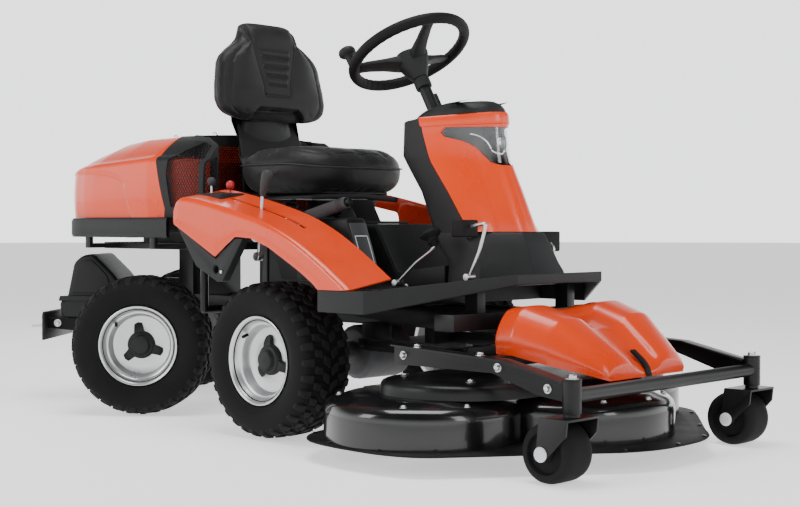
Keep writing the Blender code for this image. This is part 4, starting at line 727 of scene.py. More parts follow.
def merge(obj, *shapes, at=HERE, operation="UNION", angle=38):
    """Joins solids to a piece, or keeps only what they share with it."""
    for shape in shapes:
        points, faces = moved(shape, at)
        mesh = bpy.data.meshes.new("other")
        mesh.from_pydata(points, [], faces)
        work = bmesh.new()
        work.from_mesh(mesh)
        bmesh.ops.remove_doubles(work, verts=work.verts, dist=1e-6)
        bmesh.ops.recalc_face_normals(work, faces=work.faces)
        work.to_mesh(mesh)
        work.free()
        other = bpy.data.objects.new("other", mesh)
        bpy.context.scene.collection.objects.link(other)
        boolean = obj.modifiers.new("merge", "BOOLEAN")
        boolean.operation = operation
        boolean.solver = "EXACT"
        boolean.object = other
        settle(obj, angle)
        bpy.data.objects.remove(other, do_unlink=True)
    return obj


# ------------------------------------------------------------------ footplate, tunnel, seat mount
dress("footplate", PLASTIC, "chassis", 0.005, 3)


def plate_z(x):
    return TOP + 0.055 + 0.040 * min(max((x - 0.400) / 0.250, 0), 1)


ribs = []
for side in (1, -1):
    for k in range(9):
        x = 0.262 + k * 0.020
        ribs.append(box((x, min(side * 0.175, side * 0.415), plate_z(x) + 0.0002),
                        (x + 0.008, max(side * 0.175, side * 0.415), plate_z(x) + 0.0030)))
piece("footplate_treads", join(*ribs), SOFT_RUBBER, "chassis", bevel=0.0012, parts=2)
dress("tunnel", PLASTIC, "chassis", 0.006, 3)
slope = Vector((0.186 - 0.136, 0, 0.436 - 0.566)).normalized()
face_normal = Vector((-slope.z, 0, slope.x))
base = Vector((0.136, 0, 0.566))
plate = []
for height in (0.0004, 0.0022):
    plate.append([tuple(base + slope * u + Vector((0, v, 0)) + face_normal * height)
                  for u, v in ((0.008, -0.236), (0.132, -0.236), (0.132, -0.175), (0.008, -0.175))])
piece("label_plate", loft(plate), BOARD, "chassis", bevel=0.0008)
frame_lines = []
for u0, u1, v0, v1 in ((0.044, 0.0465, -0.229, -0.182), (0.1195, 0.122, -0.229, -0.182),
                       (0.044, 0.122, -0.229, -0.2265), (0.044, 0.122, -0.1845, -0.182)):
    frame_lines.append(loft([[tuple(base + slope * u + Vector((0, v, 0)) + face_normal * h)
                              for u, v in ((u0, v0), (u1, v0), (u1, v1),
                                           (u0, v1))] for h in (0.0020, 0.0027)]))
piece("label_border", join(*frame_lines), PALE, "chassis")

# the black upright panel beside the tunnel that carries the label
side_panel = [(-0.292, 0.520), (-0.292, 0.552), (0.135, 0.552), (0.205, 0.440), (0.235, 0.400),
              (-0.240, 0.400)]
for side in (-1, 1):
    pair = sorted((side * 0.1305, side * 0.1345))
    piece(f"tunnel_side_{'right' if side < 0 else 'left'}", prism(side_panel, "y", *pair), DARK_PLASTIC,
          "chassis", bevel=0.0018, parts=3)
tower = [(-0.060, 0.440), (-0.060, 0.545), (0.000, 0.572), (0.128, 0.572), (0.136, 0.566), (0.186, 0.436),
         (0.186, 0.404), (-0.060, 0.404)]
piece("label_tower", prism(tower, "y", -0.2395, -0.1715), DARK_PLASTIC, "chassis", bevel=0.005, parts=3)
heads = [bolt((x, s * 0.1345, z), (0, s, 0), 0.0065) for s in (1, -1)
         for x, z in ((-0.26, 0.500), (-0.02, 0.420), (0.10, 0.520))]
heads += [bolt((x, y, plate_z(x) + 0.0005), (0, 0, 1), 0.006) for x in (0.27, 0.44) for y in (-0.155, 0.155)]
heads += [bolt((x, s * (BODY_OUT - 0.0012), TOP + z), (0, s, 0), 0.005, False) for s in (1, -1)
          for x, z in ((-0.285, 0.215), (-0.130, 0.090))]
piece("chassis_bolts", join(*heads), ZINC, "chassis", bevel=0.0005, parts=1)
dress("seat_plate", STEEL_BLACK, "seat_base", 0.0012)
dress("seat_shell", DARK_PLASTIC, "seat", 0.010, 4)
dress("seat_lever", SOFT_RUBBER, "seat_lever", 0.001)

# ------------------------------------------------------------------ column
LEVELS = [(0.196, 0.315, 0.470, 0.556, 0.120, 0.140, 0.030),
          (0.300, 0.268, 0.395, 0.512, 0.118, 0.138, 0.026),
          (0.372, 0.215, 0.338, 0.480, 0.116, 0.136, 0.022),
          (0.395, 0.200, 0.326, 0.474, 0.116, 0.135, 0.022),
          (0.484, 0.200, 0.292, 0.464, 0.112, 0.132, 0.022)]


def level_at(z):
    """The column's outline numbers at a height over the frame."""
    return [between([(row[0], row[k]) for row in LEVELS], z) for k in range(1, 7)]


def level_z(z, x):
    return TOP + z + (0.07 * (x - 0.200) * step(0.440, 0.484, z))


def mirrored_ring(right, z):
    loop = list(right) + [(x, -y) for x, y in reversed(right)]
    return [(x, y, level_z(z, x)) for x, y in loop]


def cover_section(z, grow=0.0):
    rear, split, front, wide, middle, nose = level_at(z)
    split += 0.0006 - grow * 0.2
    middle, front = middle + grow, front + grow
    shoulder = (front - 0.050, -nose - 0.040 - grow * 0.5)
    right = [(split, -middle)]
    for t in (0.34, 0.67):
        right.append((split + (shoulder[0] - split) * t,
                      -middle + (shoulder[1] + middle) * t - 0.0030 * math.sin(PI * t)))
    curve = smooth_path([(*shoulder, 0), (front - 0.0165, -nose - 0.0150, 0),
                         (front - 0.001, -nose + 0.0075, 0), (front, 0, 0)], 4)
    right += [(p.x, p.y) for p in curve[:-1]]
    return right


heights = [0.1965, 0.230, 0.265, 0.300, 0.336, 0.372, 0.395, 0.420, 0.446, 0.462]
rings = [mirrored_ring(cover_section(z), z) for z in heights]
rings += [mirrored_ring(cover_section(z, g), z) for z, g in ((0.4625, 0.0035), (0.468, 0.0045),
                                                             (0.478, 0.0038),
                                                              (0.4838, 0.0006))]
points, faces = loft(rings, caps=False)
count = len(rings[0])
faces.append(list(range(len(points) - count, len(points))))
faces.append(list(reversed(range(count))))
cover = piece("column_cover_shell", (points, faces), ORANGE, "chassis", bevel=0.0022, parts=3,
              stands_for=("column_cover",), angle=30)
lamp_side = [(0.346, 0.791), (0.356, 0.8035), (0.520, 0.8035), (0.520, 0.704), (0.474, 0.706), (0.456, 0.714),
             (0.440, 0.732), (0.420, 0.754), (0.396, 0.768), (0.356, 0.779)]
inner = [mirrored_ring([(x - 0.004, y * 0.955) for x, y in cover_section(z)],
                       z) for z in (0.120, *heights[1:-1], 0.462)]
inner = loft([[(x, y, z - (0.05 if k == 0 else 0)) for x, y, z in ring] for k, ring in enumerate(inner)])
cut(cover, inner, prism(lamp_side, "y", -0.2, 0.2), angle=30)
tube_low = (HUB_FOOT - STEER_AXIS * 0.372) - Vector((AXLE.x, 0, 0))
tube_high = (HUB_FOOT - STEER_AXIS * 0.0005) - Vector((AXLE.x, 0, 0))
cut(cover, rod(tube_low, tube_high, 0.0235, 32), angle=30)
glass = [mirrored_ring([(x - 0.0012, y * 0.985) for x, y in cover_section(z)],
                       z) for z in (0.350, 0.372, 0.395, 0.420, 0.446, 0.470)]
glass = piece("headlamp_glass", loft(glass), LENS, "chassis", stands_for=("headlamp_lens",))
hollow = [mirrored_ring([(x - 0.0036, y * 0.962) for x, y in cover_section(z)],
                        z) for z in (0.340, 0.372, 0.395, 0.420, 0.446, 0.480)]
cut(glass, loft(hollow))
merge(glass, prism([(x, z) for x, z in lamp_side], "y", -0.2, 0.2), operation="INTERSECT", angle=30)
back = [mirrored_ring([(min(x - 0.010, 0.437 - (0.46 - z) * 0.10), y * 0.90) for x, y in cover_section(z)], z)
        for z in (0.345, 0.372, 0.395, 0.420, 0.446, 0.466)]
piece("headlamp_back", loft(back), DARK_PLASTIC, "chassis", bevel=0.002)
for side, tag in ((-1, "right"), (1, "left")):
    blade_path = [(0.404, side * 0.060, 0.786), (0.418, side * 0.052, 0.783), (0.430, side * 0.043, 0.776),
                  (0.439, side * 0.033, 0.764), (0.444, side * 0.024, 0.748)]
    piece(f"lamp_trim_{tag}", tube(smooth_path(blade_path, 5), 0.0030, 10), MIRROR, "chassis")
piece("lamp_sill", tube(smooth_path([(0.444, -0.024, 0.744), (0.450, -0.013, 0.738), (0.453, 0, 0.736),
                                     (0.450, 0.013, 0.738), (0.444, 0.024, 0.744)], 5), 0.0038, 12), MIRROR,
      "chassis")
eye = Vector((0.452, 0, 0.765))
piece("lamp_projector", turned([(0, -0.020), (0.0225, -0.020), (0.0225, 0.004), (0.0205, 0.0065),
                                (0.0175, 0.0065),
                                (0.0165, 0.002), (0, 0.002)], eye, (1, 0, 0.02), 48), PLASTIC, "chassis")
piece("lamp_bulb", turned([(0.0, 0.0025), (0.0160, 0.0025), (0.0150, 0.0060), (0.0110, 0.0095),
                           (0.0055, 0.0110),
                           (0.0, 0.0114)], eye, (1, 0, 0.02), 40), BULB, "chassis")

rings = []
for z in (0.178, 0.196, 0.240, 0.300, 0.336, 0.372, 0.383, 0.395, 0.440, 0.4838):
    rear, split, front, wide, middle, nose = level_at(max(z, 0.196))
    right = [(split - 0.0006, -middle), (rear + 0.060, -wide - 0.006)]
    right += [(rear + 0.030 - 0.030 * math.sin(a), -wide + 0.030 - 0.030 * math.cos(a) + (0.004 if a else 0))
              for a in (0.0, PI / 8, PI / 4, 3 * PI / 8, PI / 2)]
    rings.append(mirrored_ring(right, z))
cowl = piece("column_cowl_upper", loft(rings), PLASTIC, "chassis", bevel=0.0035, parts=3,
             stands_for=("column_cowl",), angle=30)
cut(cowl, rod(tube_low, tube_high, 0.0235, 32), rod((0.320, -0.2, TOP + 0.235),
                                                    (0.320, -0.118, TOP + 0.235), 0.0085, 24),
    rod((0.320, 0.2, TOP + 0.235), (0.320, 0.118, TOP + 0.235), 0.0085, 24), angle=30)


def base_ring(height, rear, front, half, nose):
    right = [(rear, -half + 0.050), (rear + 0.006, -half + 0.022), (rear + 0.022, -half + 0.006),
             (rear + 0.045, -half),
             (rear + 0.130, -half), (front - 0.070, -nose - 0.030), (front - 0.030, -nose - 0.004),
             (front, -nose + 0.020)]
    loop = right + [(x, -y) for x, y in reversed(right)]
    return [(x, y, TOP + height) for x, y in loop]


base = [base_ring(0.040, 0.381, 0.640, 0.151, 0.092), base_ring(0.100, 0.381, 0.612, 0.145, 0.079),
        base_ring(0.120, 0.379, 0.600, 0.142, 0.075), base_ring(0.160, 0.345, 0.582, 0.140, 0.068),
        base_ring(0.190, 0.322, 0.566, 0.138, 0.063), base_ring(0.1955, 0.320, 0.560, 0.136, 0.061)]
foot = piece("column_cowl_base", loft(base), PLASTIC, "chassis", bevel=0.003, parts=3,
             angle=30)
under = [(0.2, TOP), (0.7, TOP), (0.7, plate_z(0.65) + 0.008), (0.65, plate_z(0.65) + 0.0003),
         (0.400, plate_z(0.400) + 0.0003), (0.2, plate_z(0.400) + 0.0003)]
cut(foot, prism(under, "y", -0.2, 0.2), angle=30)

rings = []
for rear, front, half, nose, height in ((0.226, 0.445, 0.103, 0.054, 0.0005),
                                        (0.228, 0.444, 0.102, 0.053, 0.010),
                                         (0.245, 0.438, 0.097, 0.049, 0.020),
                                        (0.270, 0.430, 0.090, 0.045, 0.028),
                                         (0.305, 0.420, 0.081, 0.040, 0.033),
                                        (0.335, 0.410, 0.072, 0.034, 0.0345)):
    right = [(rear, -half * 0.55), (rear + 0.012, -half * 0.80), (rear + 0.040, -half),
             (rear + 0.090, -half * 1.0),
             (front - 0.060, -nose - 0.030), (front - 0.030, -nose - 0.010), (front - 0.008, -nose + 0.010),
             (front, -nose + 0.028)]
    loop = right + [(x, -y) for x, y in reversed(right)]
    rings.append([(x, y, TOP + 0.484 + 0.07 * (x - 0.200) + height) for x, y in loop])
cap = piece("dash_cap_skin", loft(rings), PLASTIC, "chassis", stands_for=("dash_cap",),
            angle=40)
cut(cap, rod(tube_low, tube_high, 0.0215, 32), angle=40)

# ------------------------------------------------------------------ steering
IN_ROW = Matrix.Identity(4)
piece("column_tube_skin", rod(HUB_FOOT - STEER_AXIS * 0.330, HUB_FOOT - STEER_AXIS * 0.0006, 0.0165, 40,
                              0.001),
      DARK_PLASTIC, "steering_column", IN_ROW, stands_for=("column_tube",))
piece("column_collar", turned([(0.0168, -0.030), (0.0215, -0.030), (0.0225, -0.026), (0.0225, -0.008),
                               (0.0205, -0.002), (0.0168, -0.002)], HUB_FOOT, STEER_AXIS, 40),
      PLASTIC, "steering_column", IN_ROW)
rings = []
for i in range(168):
    a = 2 * PI * i / 168
    gripped = step(0.12, 0.3, abs(math.sin(a * 1.5 + 0.4)))
    ring = []
    for j in range(18):
        b = 2 * PI * j / 18
        inner_side = max(0.0, -math.cos(b)) ** 1.5
        r = 0.0150 - 0.0020 * inner_side * (0.5 + 0.5 * math.cos(42 * a)) * gripped
        ring.append(((0.160 + r * math.cos(b)) * math.cos(a), (0.160 + r * math.cos(b)) * math.sin(a),
                     r * math.sin(b)))
    rings.append(ring)
piece("steering_rim", loft(rings, loop=True), SOFT_RUBBER, "steering_wheel", RING,
      stands_for=("steering_wheel",))
# The wheel stands turned with the rear carriage.
WHEEL_TURN = STEER * -8.0
spokes, inlays = [], []
for angle, wide in ((-165.0, 0.032), (55.0, 0.020), (-57.0, 0.020)):
    a = math.radians(angle) + WHEEL_TURN
    c, s = math.cos(a), math.sin(a)

    def spoke_at(u, v, w):
        return (u * c - v * s, u * s + v * c, w)

    rings = []
    for u, half, low, high in ((0.012, wide * 0.95, -0.046, -0.012), (0.040, wide, -0.037, -0.012),
                               (0.080, wide * 0.86, -0.022, -0.006), (0.120, wide * 0.74, -0.012, 0.002),
                               (0.152, wide * 0.70, -0.007, 0.006)):
        rings.append([spoke_at(u, v, w) for v, w in ((-half, low + 0.003), (-half * 0.6, low),
                                                     (half * 0.6, low),
                                                     (half, low + 0.003), (half, high - 0.003),
                                                     (half * 0.7, high),
                                                     (-half * 0.7, high), (-half, high - 0.003))])
    spokes.append(loft(rings))
    if wide > 0.03:
        rings = []
        for u, half, w in ((0.052, wide * 0.55, -0.0085), (0.085, wide * 0.52, -0.0030),
                           (0.125, wide * 0.44, 0.0045)):
            rings.append([spoke_at(u, v, w + dw) for v, dw in ((-half, -0.004), (half, -0.004),
                                                               (half, 0.0012), (-half, 0.0012))])
        inlays.append(loft(rings))
piece("steering_spokes", join(*spokes), PLASTIC, "steering_wheel", RING, bevel=0.0025, parts=3)
piece("steering_inlay", join(*inlays), DARK_PLASTIC, "steering_wheel", RING, bevel=0.0015)
boss = []
for lift, half_u, half_v, power in ((-0.0848, 0.021, 0.021, 2.2), (-0.078, 0.0235, 0.0235, 2.4),
                                    (-0.055, 0.034, 0.032, 3.2),
                                    (-0.024, 0.044, 0.040, 4), (-0.010, 0.0435, 0.040, 4),
                                    (-0.0050, 0.036, 0.033, 3.5), (-0.0030, 0.020, 0.018, 3)):
    ring = []
    for k in range(48):
        t = 2 * PI * k / 48
        cx, cy = math.cos(t), math.sin(t)
        u = half_u * math.copysign(abs(cx) ** (2 / power), cx)
        v = half_v * math.copysign(abs(cy) ** (2 / power), cy)
        a = math.radians(-165) + WHEEL_TURN
        ring.append((u * math.cos(a) - v * math.sin(a), u * math.sin(a) + v * math.cos(a), lift))
    boss.append(ring)
piece("steering_boss", loft(boss), PLASTIC, "steering_wheel", RING, angle=30)
knob_at = Vector(JOINT["spinner_knob_spin"]["pos_m"])
knob = [(0, 0.0), (0.0100, 0.0), (0.0100, 0.010), (0.0105, 0.020), (0.0140, 0.0265), (0.0200, 0.0295),
        (0.0236, 0.034), (0.0240, 0.040), (0.0215, 0.0465), (0.0150, 0.0510), (0.0070, 0.0527), (0, 0.0530)]
piece("spinner_knob_skin", turned(knob, knob_at, STEER_AXIS, 40), PLASTIC, "spinner_knob", IN_ROW,
      stands_for=("spinner_knob",), angle=45)
dress("column_lever", PLASTIC, "column_lever", 0.0025, 3)

# ------------------------------------------------------------------ levers
pivot = Vector((-0.200, -(FENDER_IN - 0.029), TOP + 0.185))
rise = math.radians(13.5)
along, up = Vector((math.cos(rise), 0, math.sin(rise))), Vector((-math.sin(rise), 0, math.cos(rise)))


def lever_ring(reach, half_deep, half_wide, drop=0.0, power=2.6, sides=28):
    ring = []
    for k in range(sides):
        t = 2 * PI * k / sides
        cx, cy = math.cos(t), math.sin(t)
        p = pivot + along * reach + Vector((0, 1, 0)) * half_wide * math.copysign(abs(cx) ** (2 / power), cx)
        p += up * (half_deep * math.copysign(abs(cy) ** (2 / power), cy) - drop)
        ring.append(tuple(p))
    return ring


arm = loft([lever_ring(0.008, 0.016, 0.0045, 0, 6), lever_ring(0.120, 0.0145, 0.0045, 0, 6),
            lever_ring(0.228, 0.0135, 0.0045, 0, 6)])
eyelet = rod(pivot - Vector((0, 0.0050, 0)), pivot + Vector((0, 0.0050, 0)), 0.0185, 36, 0.001)
arm = piece("lift_arm", join(arm), BRUSHED, "lift_lever", bevel=0.001, stands_for=("lift_lever",))
merge(arm, eyelet)
cut(arm, rod(pivot - Vector((0, 0.02, 0)), pivot + Vector((0, 0.02, 0)), 0.0087, 28))
rings = []
for k in range(41):
    reach = 0.2125 + 0.1585 * k / 40
    wave = 0.0011 * (0.5 - 0.5 * math.cos(2 * PI * (reach - 0.235) / 0.0165)) if 0.235 < reach < 0.330 else 0
    tip = 0.0035 if k in (0, 40) else (0.001 if k in (1, 39) else 0)
    ring = [Vector(p) for p in lever_ring(reach, 0.0163 - tip, 0.0150 - tip, 0, 2.8)]
    under = [(p - pivot - along * reach).dot(up) < 0 for p in ring]
    rings.append([tuple(p + up * wave * (1 if low else 0)) for p, low in zip(ring, under)])
grip = piece("lift_grip", loft(rings), GRIP, "lift_lever", angle=50)
cut(grip, rod(pivot + along * 0.322, pivot + along * 0.380, 0.0118, 32), angle=50)
ridges = [loft([lever_ring(reach, 0.0166, 0.0155, 0, 2.8),
                lever_ring(reach + 0.0022, 0.0166, 0.0155, 0, 2.8)])
          for reach in (0.342, 0.3475, 0.353, 0.3585)]
ridges = piece("lift_grip_ridges", join(*ridges), DARK_PLASTIC, "lift_lever", bevel=0.0005)
cut(ridges, rod(pivot + along * 0.330, pivot + along * 0.380, 0.0125, 32))
dress("lift_button", DARK_PLASTIC, "lift_button", 0.0015, 3)

base = Vector((-0.075, -(BODY_OUT - 0.081), TOP + 0.130))
neck, knob_top = base + Vector((0.016, 0, 0.160)), base + Vector((0.038, 0, 0.226))
piece("height_rod", join(rod(base, neck + (neck - base).normalized() * 0.006, 0.0045, 20),
                         rod(base - Vector((0, 0.010, 0)), base + Vector((0, 0.010, 0)), 0.012, 28, 0.001)),
      ZINC, "height_lever", stands_for=("height_lever",))
grip_profile = [(0, 0), (0.0070, 0.0), (0.0078, 0.004), (0.0100, 0.016), (0.0125, 0.032), (0.0140, 0.048),
                (0.0143, 0.058), (0.0130, 0.066), (0.0085, 0.0705), (0, 0.0718)]
piece("height_grip", turned(grip_profile, neck, knob_top - neck, 36), GRIP, "height_lever",
      angle=45)
for tag, x, inboard, material, drop, slot in (("throttle", -0.278, 0.086, GRIP, 0.0, "grip_grey"),
                                              ("choke", -0.232, 0.114, RED, -0.010, "red")):
    foot_at = Vector((x, -(BODY_OUT - inboard), TOP + 0.262))
    head = foot_at + Vector((0, 0, 0.058 + drop))
    piece(f"{tag}_rod", join(rod(foot_at, head + Vector((0, 0, 0.004)), 0.0030, 16),
                             rod(foot_at - Vector((0, 0.006, 0)), foot_at + Vector((0, 0.006, 0)), 0.008,
                                 24)),
          ZINC if tag == "throttle" else RED, f"{tag}_lever", stands_for=(f"{tag}_lever",))
    knob = [(0, 0), (0.0070, 0.0008), (0.0098, 0.0045), (0.0112, 0.0100), (0.0118, 0.0140), (0.0100, 0.0200),
            (0.0060, 0.0240), (0, 0.0250)]
    piece(f"{tag}_knob", turned(knob, head, (0, 0, 1), 32), material, f"{tag}_lever", angle=60)

# ------------------------------------------------------------------ pedals


def bent_path(points, round_by=0.012, steps=5):
    """Straight legs joined by short round bends."""
    path = [points[0]]
    for before, corner, after in zip(points, points[1:], points[2:]):
        start = corner + (before - corner).normalized() * min(round_by, (before - corner).length * 0.45)
        end = corner + (after - corner).normalized() * min(round_by, (after - corner).length * 0.45)
        for k in range(steps + 1):
            t = k / steps
            path.append(start * (1 - t) ** 2 + corner * 2 * t * (1 - t) + end * t ** 2)
    return path + [points[-1]]


def pedal(tag, foot_x, y, path, shapes):
    foot_at = Vector((foot_x, y, plate_z(foot_x) + 0.0115))
    points = [foot_at] + [Vector((x, y, TOP + z)) for x, z in path]
    piece(f"{tag}_rod", join(tube(bent_path(points), 0.0046, 16),
                             rod(foot_at - Vector((0, 0.014, 0)), foot_at + Vector((0, 0.014, 0)), 0.009,
                                 28, 0.001)),
          ZINC, tag, stands_for=(tag,))
    for name, shape, material, bevel in shapes:
        piece(f"{tag}_{name}", shape, material, tag, bevel=bevel, parts=3)


pad = box((0.493, -0.233, TOP + 0.184), (0.533, -0.177, TOP + 0.226))
grooves = join(*[box((0.4920, -0.229, TOP + z),
                     (0.4942, -0.181, TOP + z + 0.003)) for z in (0.189, 0.196, 0.203, 0.210, 0.217)])
pedal("forward_pedal", 0.528, -0.205, [(0.560, 0.150), (0.580, 0.212), (0.575, 0.218), (0.530, 0.209)],
      [("pad", pad, SOFT_RUBBER, 0.004), ("ribs", grooves, SOFT_RUBBER, 0.0006)])
knob = turned([(0, 0), (0.020, 0.0005), (0.0265, 0.003), (0.0275, 0.007), (0.0255, 0.011), (0.018, 0.017),
               (0.0145, 0.022),
               (0.0135, 0.026), (0.0150, 0.029), (0.0130, 0.032), (0.0100, 0.036), (0.008, 0.040),
               (0, 0.0405)],
              (0.396, -0.205, TOP + 0.196), (0.45, 0, -0.89), 40)
pedal("reverse_pedal", 0.287, -0.205, [(0.350, 0.118), (0.405, 0.150), (0.412, 0.160), (0.408, 0.172)],
      [("boot", knob, SOFT_RUBBER, 0.0)])
pad = box((0.400, 0.195, TOP + 0.142), (0.438, 0.275, TOP + 0.196))
grooves = join(*[box((0.3990, 0.200, TOP + z),
                     (0.4012, 0.270, TOP + z + 0.003)) for z in (0.150, 0.159, 0.168, 0.177, 0.186)])
pedal("brake_pedal", 0.400, 0.235, [(0.430, 0.100), (0.448, 0.150), (0.430, 0.170)],
      [("pad", pad, SOFT_RUBBER, 0.004), ("ribs", grooves, SOFT_RUBBER, 0.0006)])


# ------------------------------------------------------------------ hood
LOW = TOP + 0.2353
HOOD_BACK, HOOD_FRONT = REAR_X - 0.170, REAR_X + 0.482
HALF = [(-0.170, 0.256), (-0.166, 0.272), (-0.156, 0.292), (-0.140, 0.308), (-0.110, 0.321), (-0.050, 0.331),
        (0.000, 0.334), (0.287, 0.334), (0.387, 0.314), (0.440, 0.300), (0.482, 0.282)]
CREST = [(-0.170, 0.165), (-0.140, 0.186), (0.000, 0.200), (0.287, 0.210), (0.387, 0.203), (0.482, 0.226)]
SIDE = [(-0.170, 0.350), (-0.160, 0.366), (-0.140, 0.380), (-0.080, 0.392), (0.000, 0.398), (0.287, 0.412),
        (0.387, 0.412), (0.482, 0.400)]
PEAK = [(-0.170, 0.386), (-0.160, 0.402), (-0.140, 0.420), (-0.090, 0.444), (0.000, 0.464), (0.120, 0.475),
        (0.287, 0.479), (0.387, 0.478), (0.440, 0.470), (0.482, 0.446)]
SIDE_STEPS, CORNER_STEPS = 26, 6


def hood_outline(x):
    """The hood's right half from its lower edge up to the centre line, as (y, z)."""
    u = x - REAR_X
    half, crest, side, peak = (between(table, u) for table in (HALF, CREST, SIDE, PEAK))
    side, peak = TOP + side, TOP + peak
    points = []
    knee = side - 0.022
    for k in range(SIDE_STEPS):
        t = k / (SIDE_STEPS - 1)
        points.append((-half - 0.004 * math.sin(PI * t), LOW + (knee - LOW) * t))
    shoulder = Vector((-half + 0.024, side + 0.003))
    start, finish = Vector((-half, knee)), shoulder
    middle = Vector((-half, side - 0.002))
    for k in range(1, CORNER_STEPS):
        t = k / CORNER_STEPS
        p = start * (1 - t) ** 2 + middle * 2 * t * (1 - t) + finish * t * t
        points.append((p.x, p.y))
    top = Vector((-crest, peak - 0.002))
    for k in range(9):
        p = shoulder.lerp(top, k / 9)
        points.append((p.x, p.y + 0.004 * math.sin(PI * k / 9)))
    for k in range(8):
        t = k / 7
        points.append((-crest * (1 - t), peak - 0.002 + 0.008 * math.sin(PI / 2 * t)))
    return points


def frame_edge(z):
    """Where the orange shell ends and the black frame begins."""
    return -0.600 + between([(0.575, 0.062), (0.600, 0.066), (0.745, 0.028), (0.820, 0.0)], z)


def hood_strip(stations, ends, recess=False):
    rings = []
    edge_rows = hood_outline(-0.600)
    for s in stations:
        ring = []
        for k, (_, z0) in enumerate(edge_rows):
            first, last = ends(z0)
            x = first + (last - first) * s
            y, z = hood_outline(x)[k]
            if recess and k < SIDE_STEPS + 2:
                over = between([(-1.06, 0.706), (-1.0, 0.722), (-0.90, 0.722), (-0.80, 0.712),
                                (-0.745, 0.700), (-0.72, 0.690)], x)
                ahead = -0.722 + (0.700 - z) * 0.30
                depth = step(0.0, 0.012, over - z) * step(0.0, 0.012, ahead - x)
                y += 0.0065 * depth
            ring.append((x, y, z))
        rings.append(ring + [(x, -y, z) for x, y, z in reversed(ring[:-1])])
    return rings


spacing = [0, 0.006, 0.014, 0.024, 0.036, 0.05] + [0.05 + 0.95 * k / 84 for k in range(1, 85)]
rings = hood_strip(spacing, lambda z: (HOOD_BACK, frame_edge(z) - 0.0006), True)
points, faces = loft(rings, caps=False, closed=False)
faces.append(list(reversed(range(len(rings[0])))))
piece("hood_shell_skin", (points, faces), ORANGE, "hood", wall=0.004, stands_for=("hood_shell",),
                   angle=32)
rings = hood_strip([k / 22 for k in range(23)], lambda z: (frame_edge(z) + 0.0006, HOOD_FRONT))
points, faces = loft(rings, caps=False, closed=False)
faces.append(list(range(len(points) - len(rings[0]), len(points))))
grille = piece("hood_frame", (points, faces), PLASTIC, "hood", wall=0.0045, stands_for=("hood_grille",),
               angle=32)
BAY_X, BAY_HALF = REAR_X + 0.379, 0.228
side_window = [(-0.512, 0.604), (-0.530, 0.700), (-0.526, 0.740), (-0.500, 0.768), (-0.452, 0.797),
               (-0.424, 0.790), (-0.416, 0.604)]
wing_window = [(-0.276, 0.604), (-0.276, 0.726), (-0.234, 0.750), (-0.234, 0.604)]
bay_window = [(-0.214, 0.604), (-0.214, 0.752), (-0.180, 0.786), (0.180, 0.786), (0.214, 0.752),
              (0.214, 0.604)]
cut(grille, box((BAY_X, -BAY_HALF, LOW - 0.02), (BAY_X + 0.2, BAY_HALF, LOW + 0.4)),
    prism(side_window, "y", -0.40, -0.235), flipped(prism(side_window, "y", -0.40, -0.235)),
    prism(wing_window, "x", -0.415, -0.39), flipped(prism(wing_window, "x", -0.415, -0.39)), angle=32)
cheeks = []
for side in (-1, 1):
    pair = sorted((side * BAY_HALF, side * (BAY_HALF + 0.004)))
    cheeks.append(prism([(BAY_X - 0.004, LOW), (HOOD_FRONT - 0.001, LOW), (HOOD_FRONT - 0.001, TOP + 0.444),
                         (HOOD_FRONT - 0.045, TOP + 0.468), (BAY_X - 0.004, TOP + 0.474)], "y", *pair))
piece("hood_bay_cheeks", join(*cheeks), PLASTIC, "hood", bevel=0.001)
wall = piece("hood_bay_wall", box((BAY_X - 0.004, -BAY_HALF, LOW), (BAY_X, BAY_HALF, TOP + 0.476)), PLASTIC,
             "hood")
cut(wall, prism(bay_window, "x", BAY_X - 0.01, BAY_X + 0.01))


def inside(outline, a, b):
    crossed = False
    for (a0, b0), (a1, b1) in zip(outline, outline[1:] + outline[:1]):
        if (b0 > b) != (b1 > b) and a < a0 + (a1 - a0) * (b - b0) / (b1 - b0):
            crossed = not crossed
    return crossed


def honeycomb(outline, place, pitch=0.0088, bar=0.0011, depth=0.0016):
    """Hexagon cells over an outline; place puts (a, b, depth) on the surface."""
    low = [min(p[i] for p in outline) for i in (0, 1)]
    high = [max(p[i] for p in outline) for i in (0, 1)]
    cells = []
    rows = int((high[1] - low[1]) / (pitch * 0.866)) + 2
    columns = int((high[0] - low[0]) / pitch) + 2
    for row in range(rows):
        for column in range(columns):
            a = low[0] + (column + 0.5 * (row % 2)) * pitch
            b = low[1] + row * pitch * 0.866
            if not inside(outline, a, b):
                continue
            loops = []
            for reach, sink in ((pitch * 0.578, 0), (pitch * 0.578 - bar, 0), (pitch * 0.578 - bar, depth),
                                (pitch * 0.578, depth)):
                loops.append([place(a + reach * math.sin(PI / 3 * k), b + reach * math.cos(PI / 3 * k), sink)
                              for k in range(6)])
            cells.append(loft(loops, loop=True))
    return join(*cells)


def on_side(x, z, sink):
    rows = hood_outline(x)
    y = between([(zz, yy) for yy, zz in rows], z)
    return (x, y + 0.002 + sink, z)


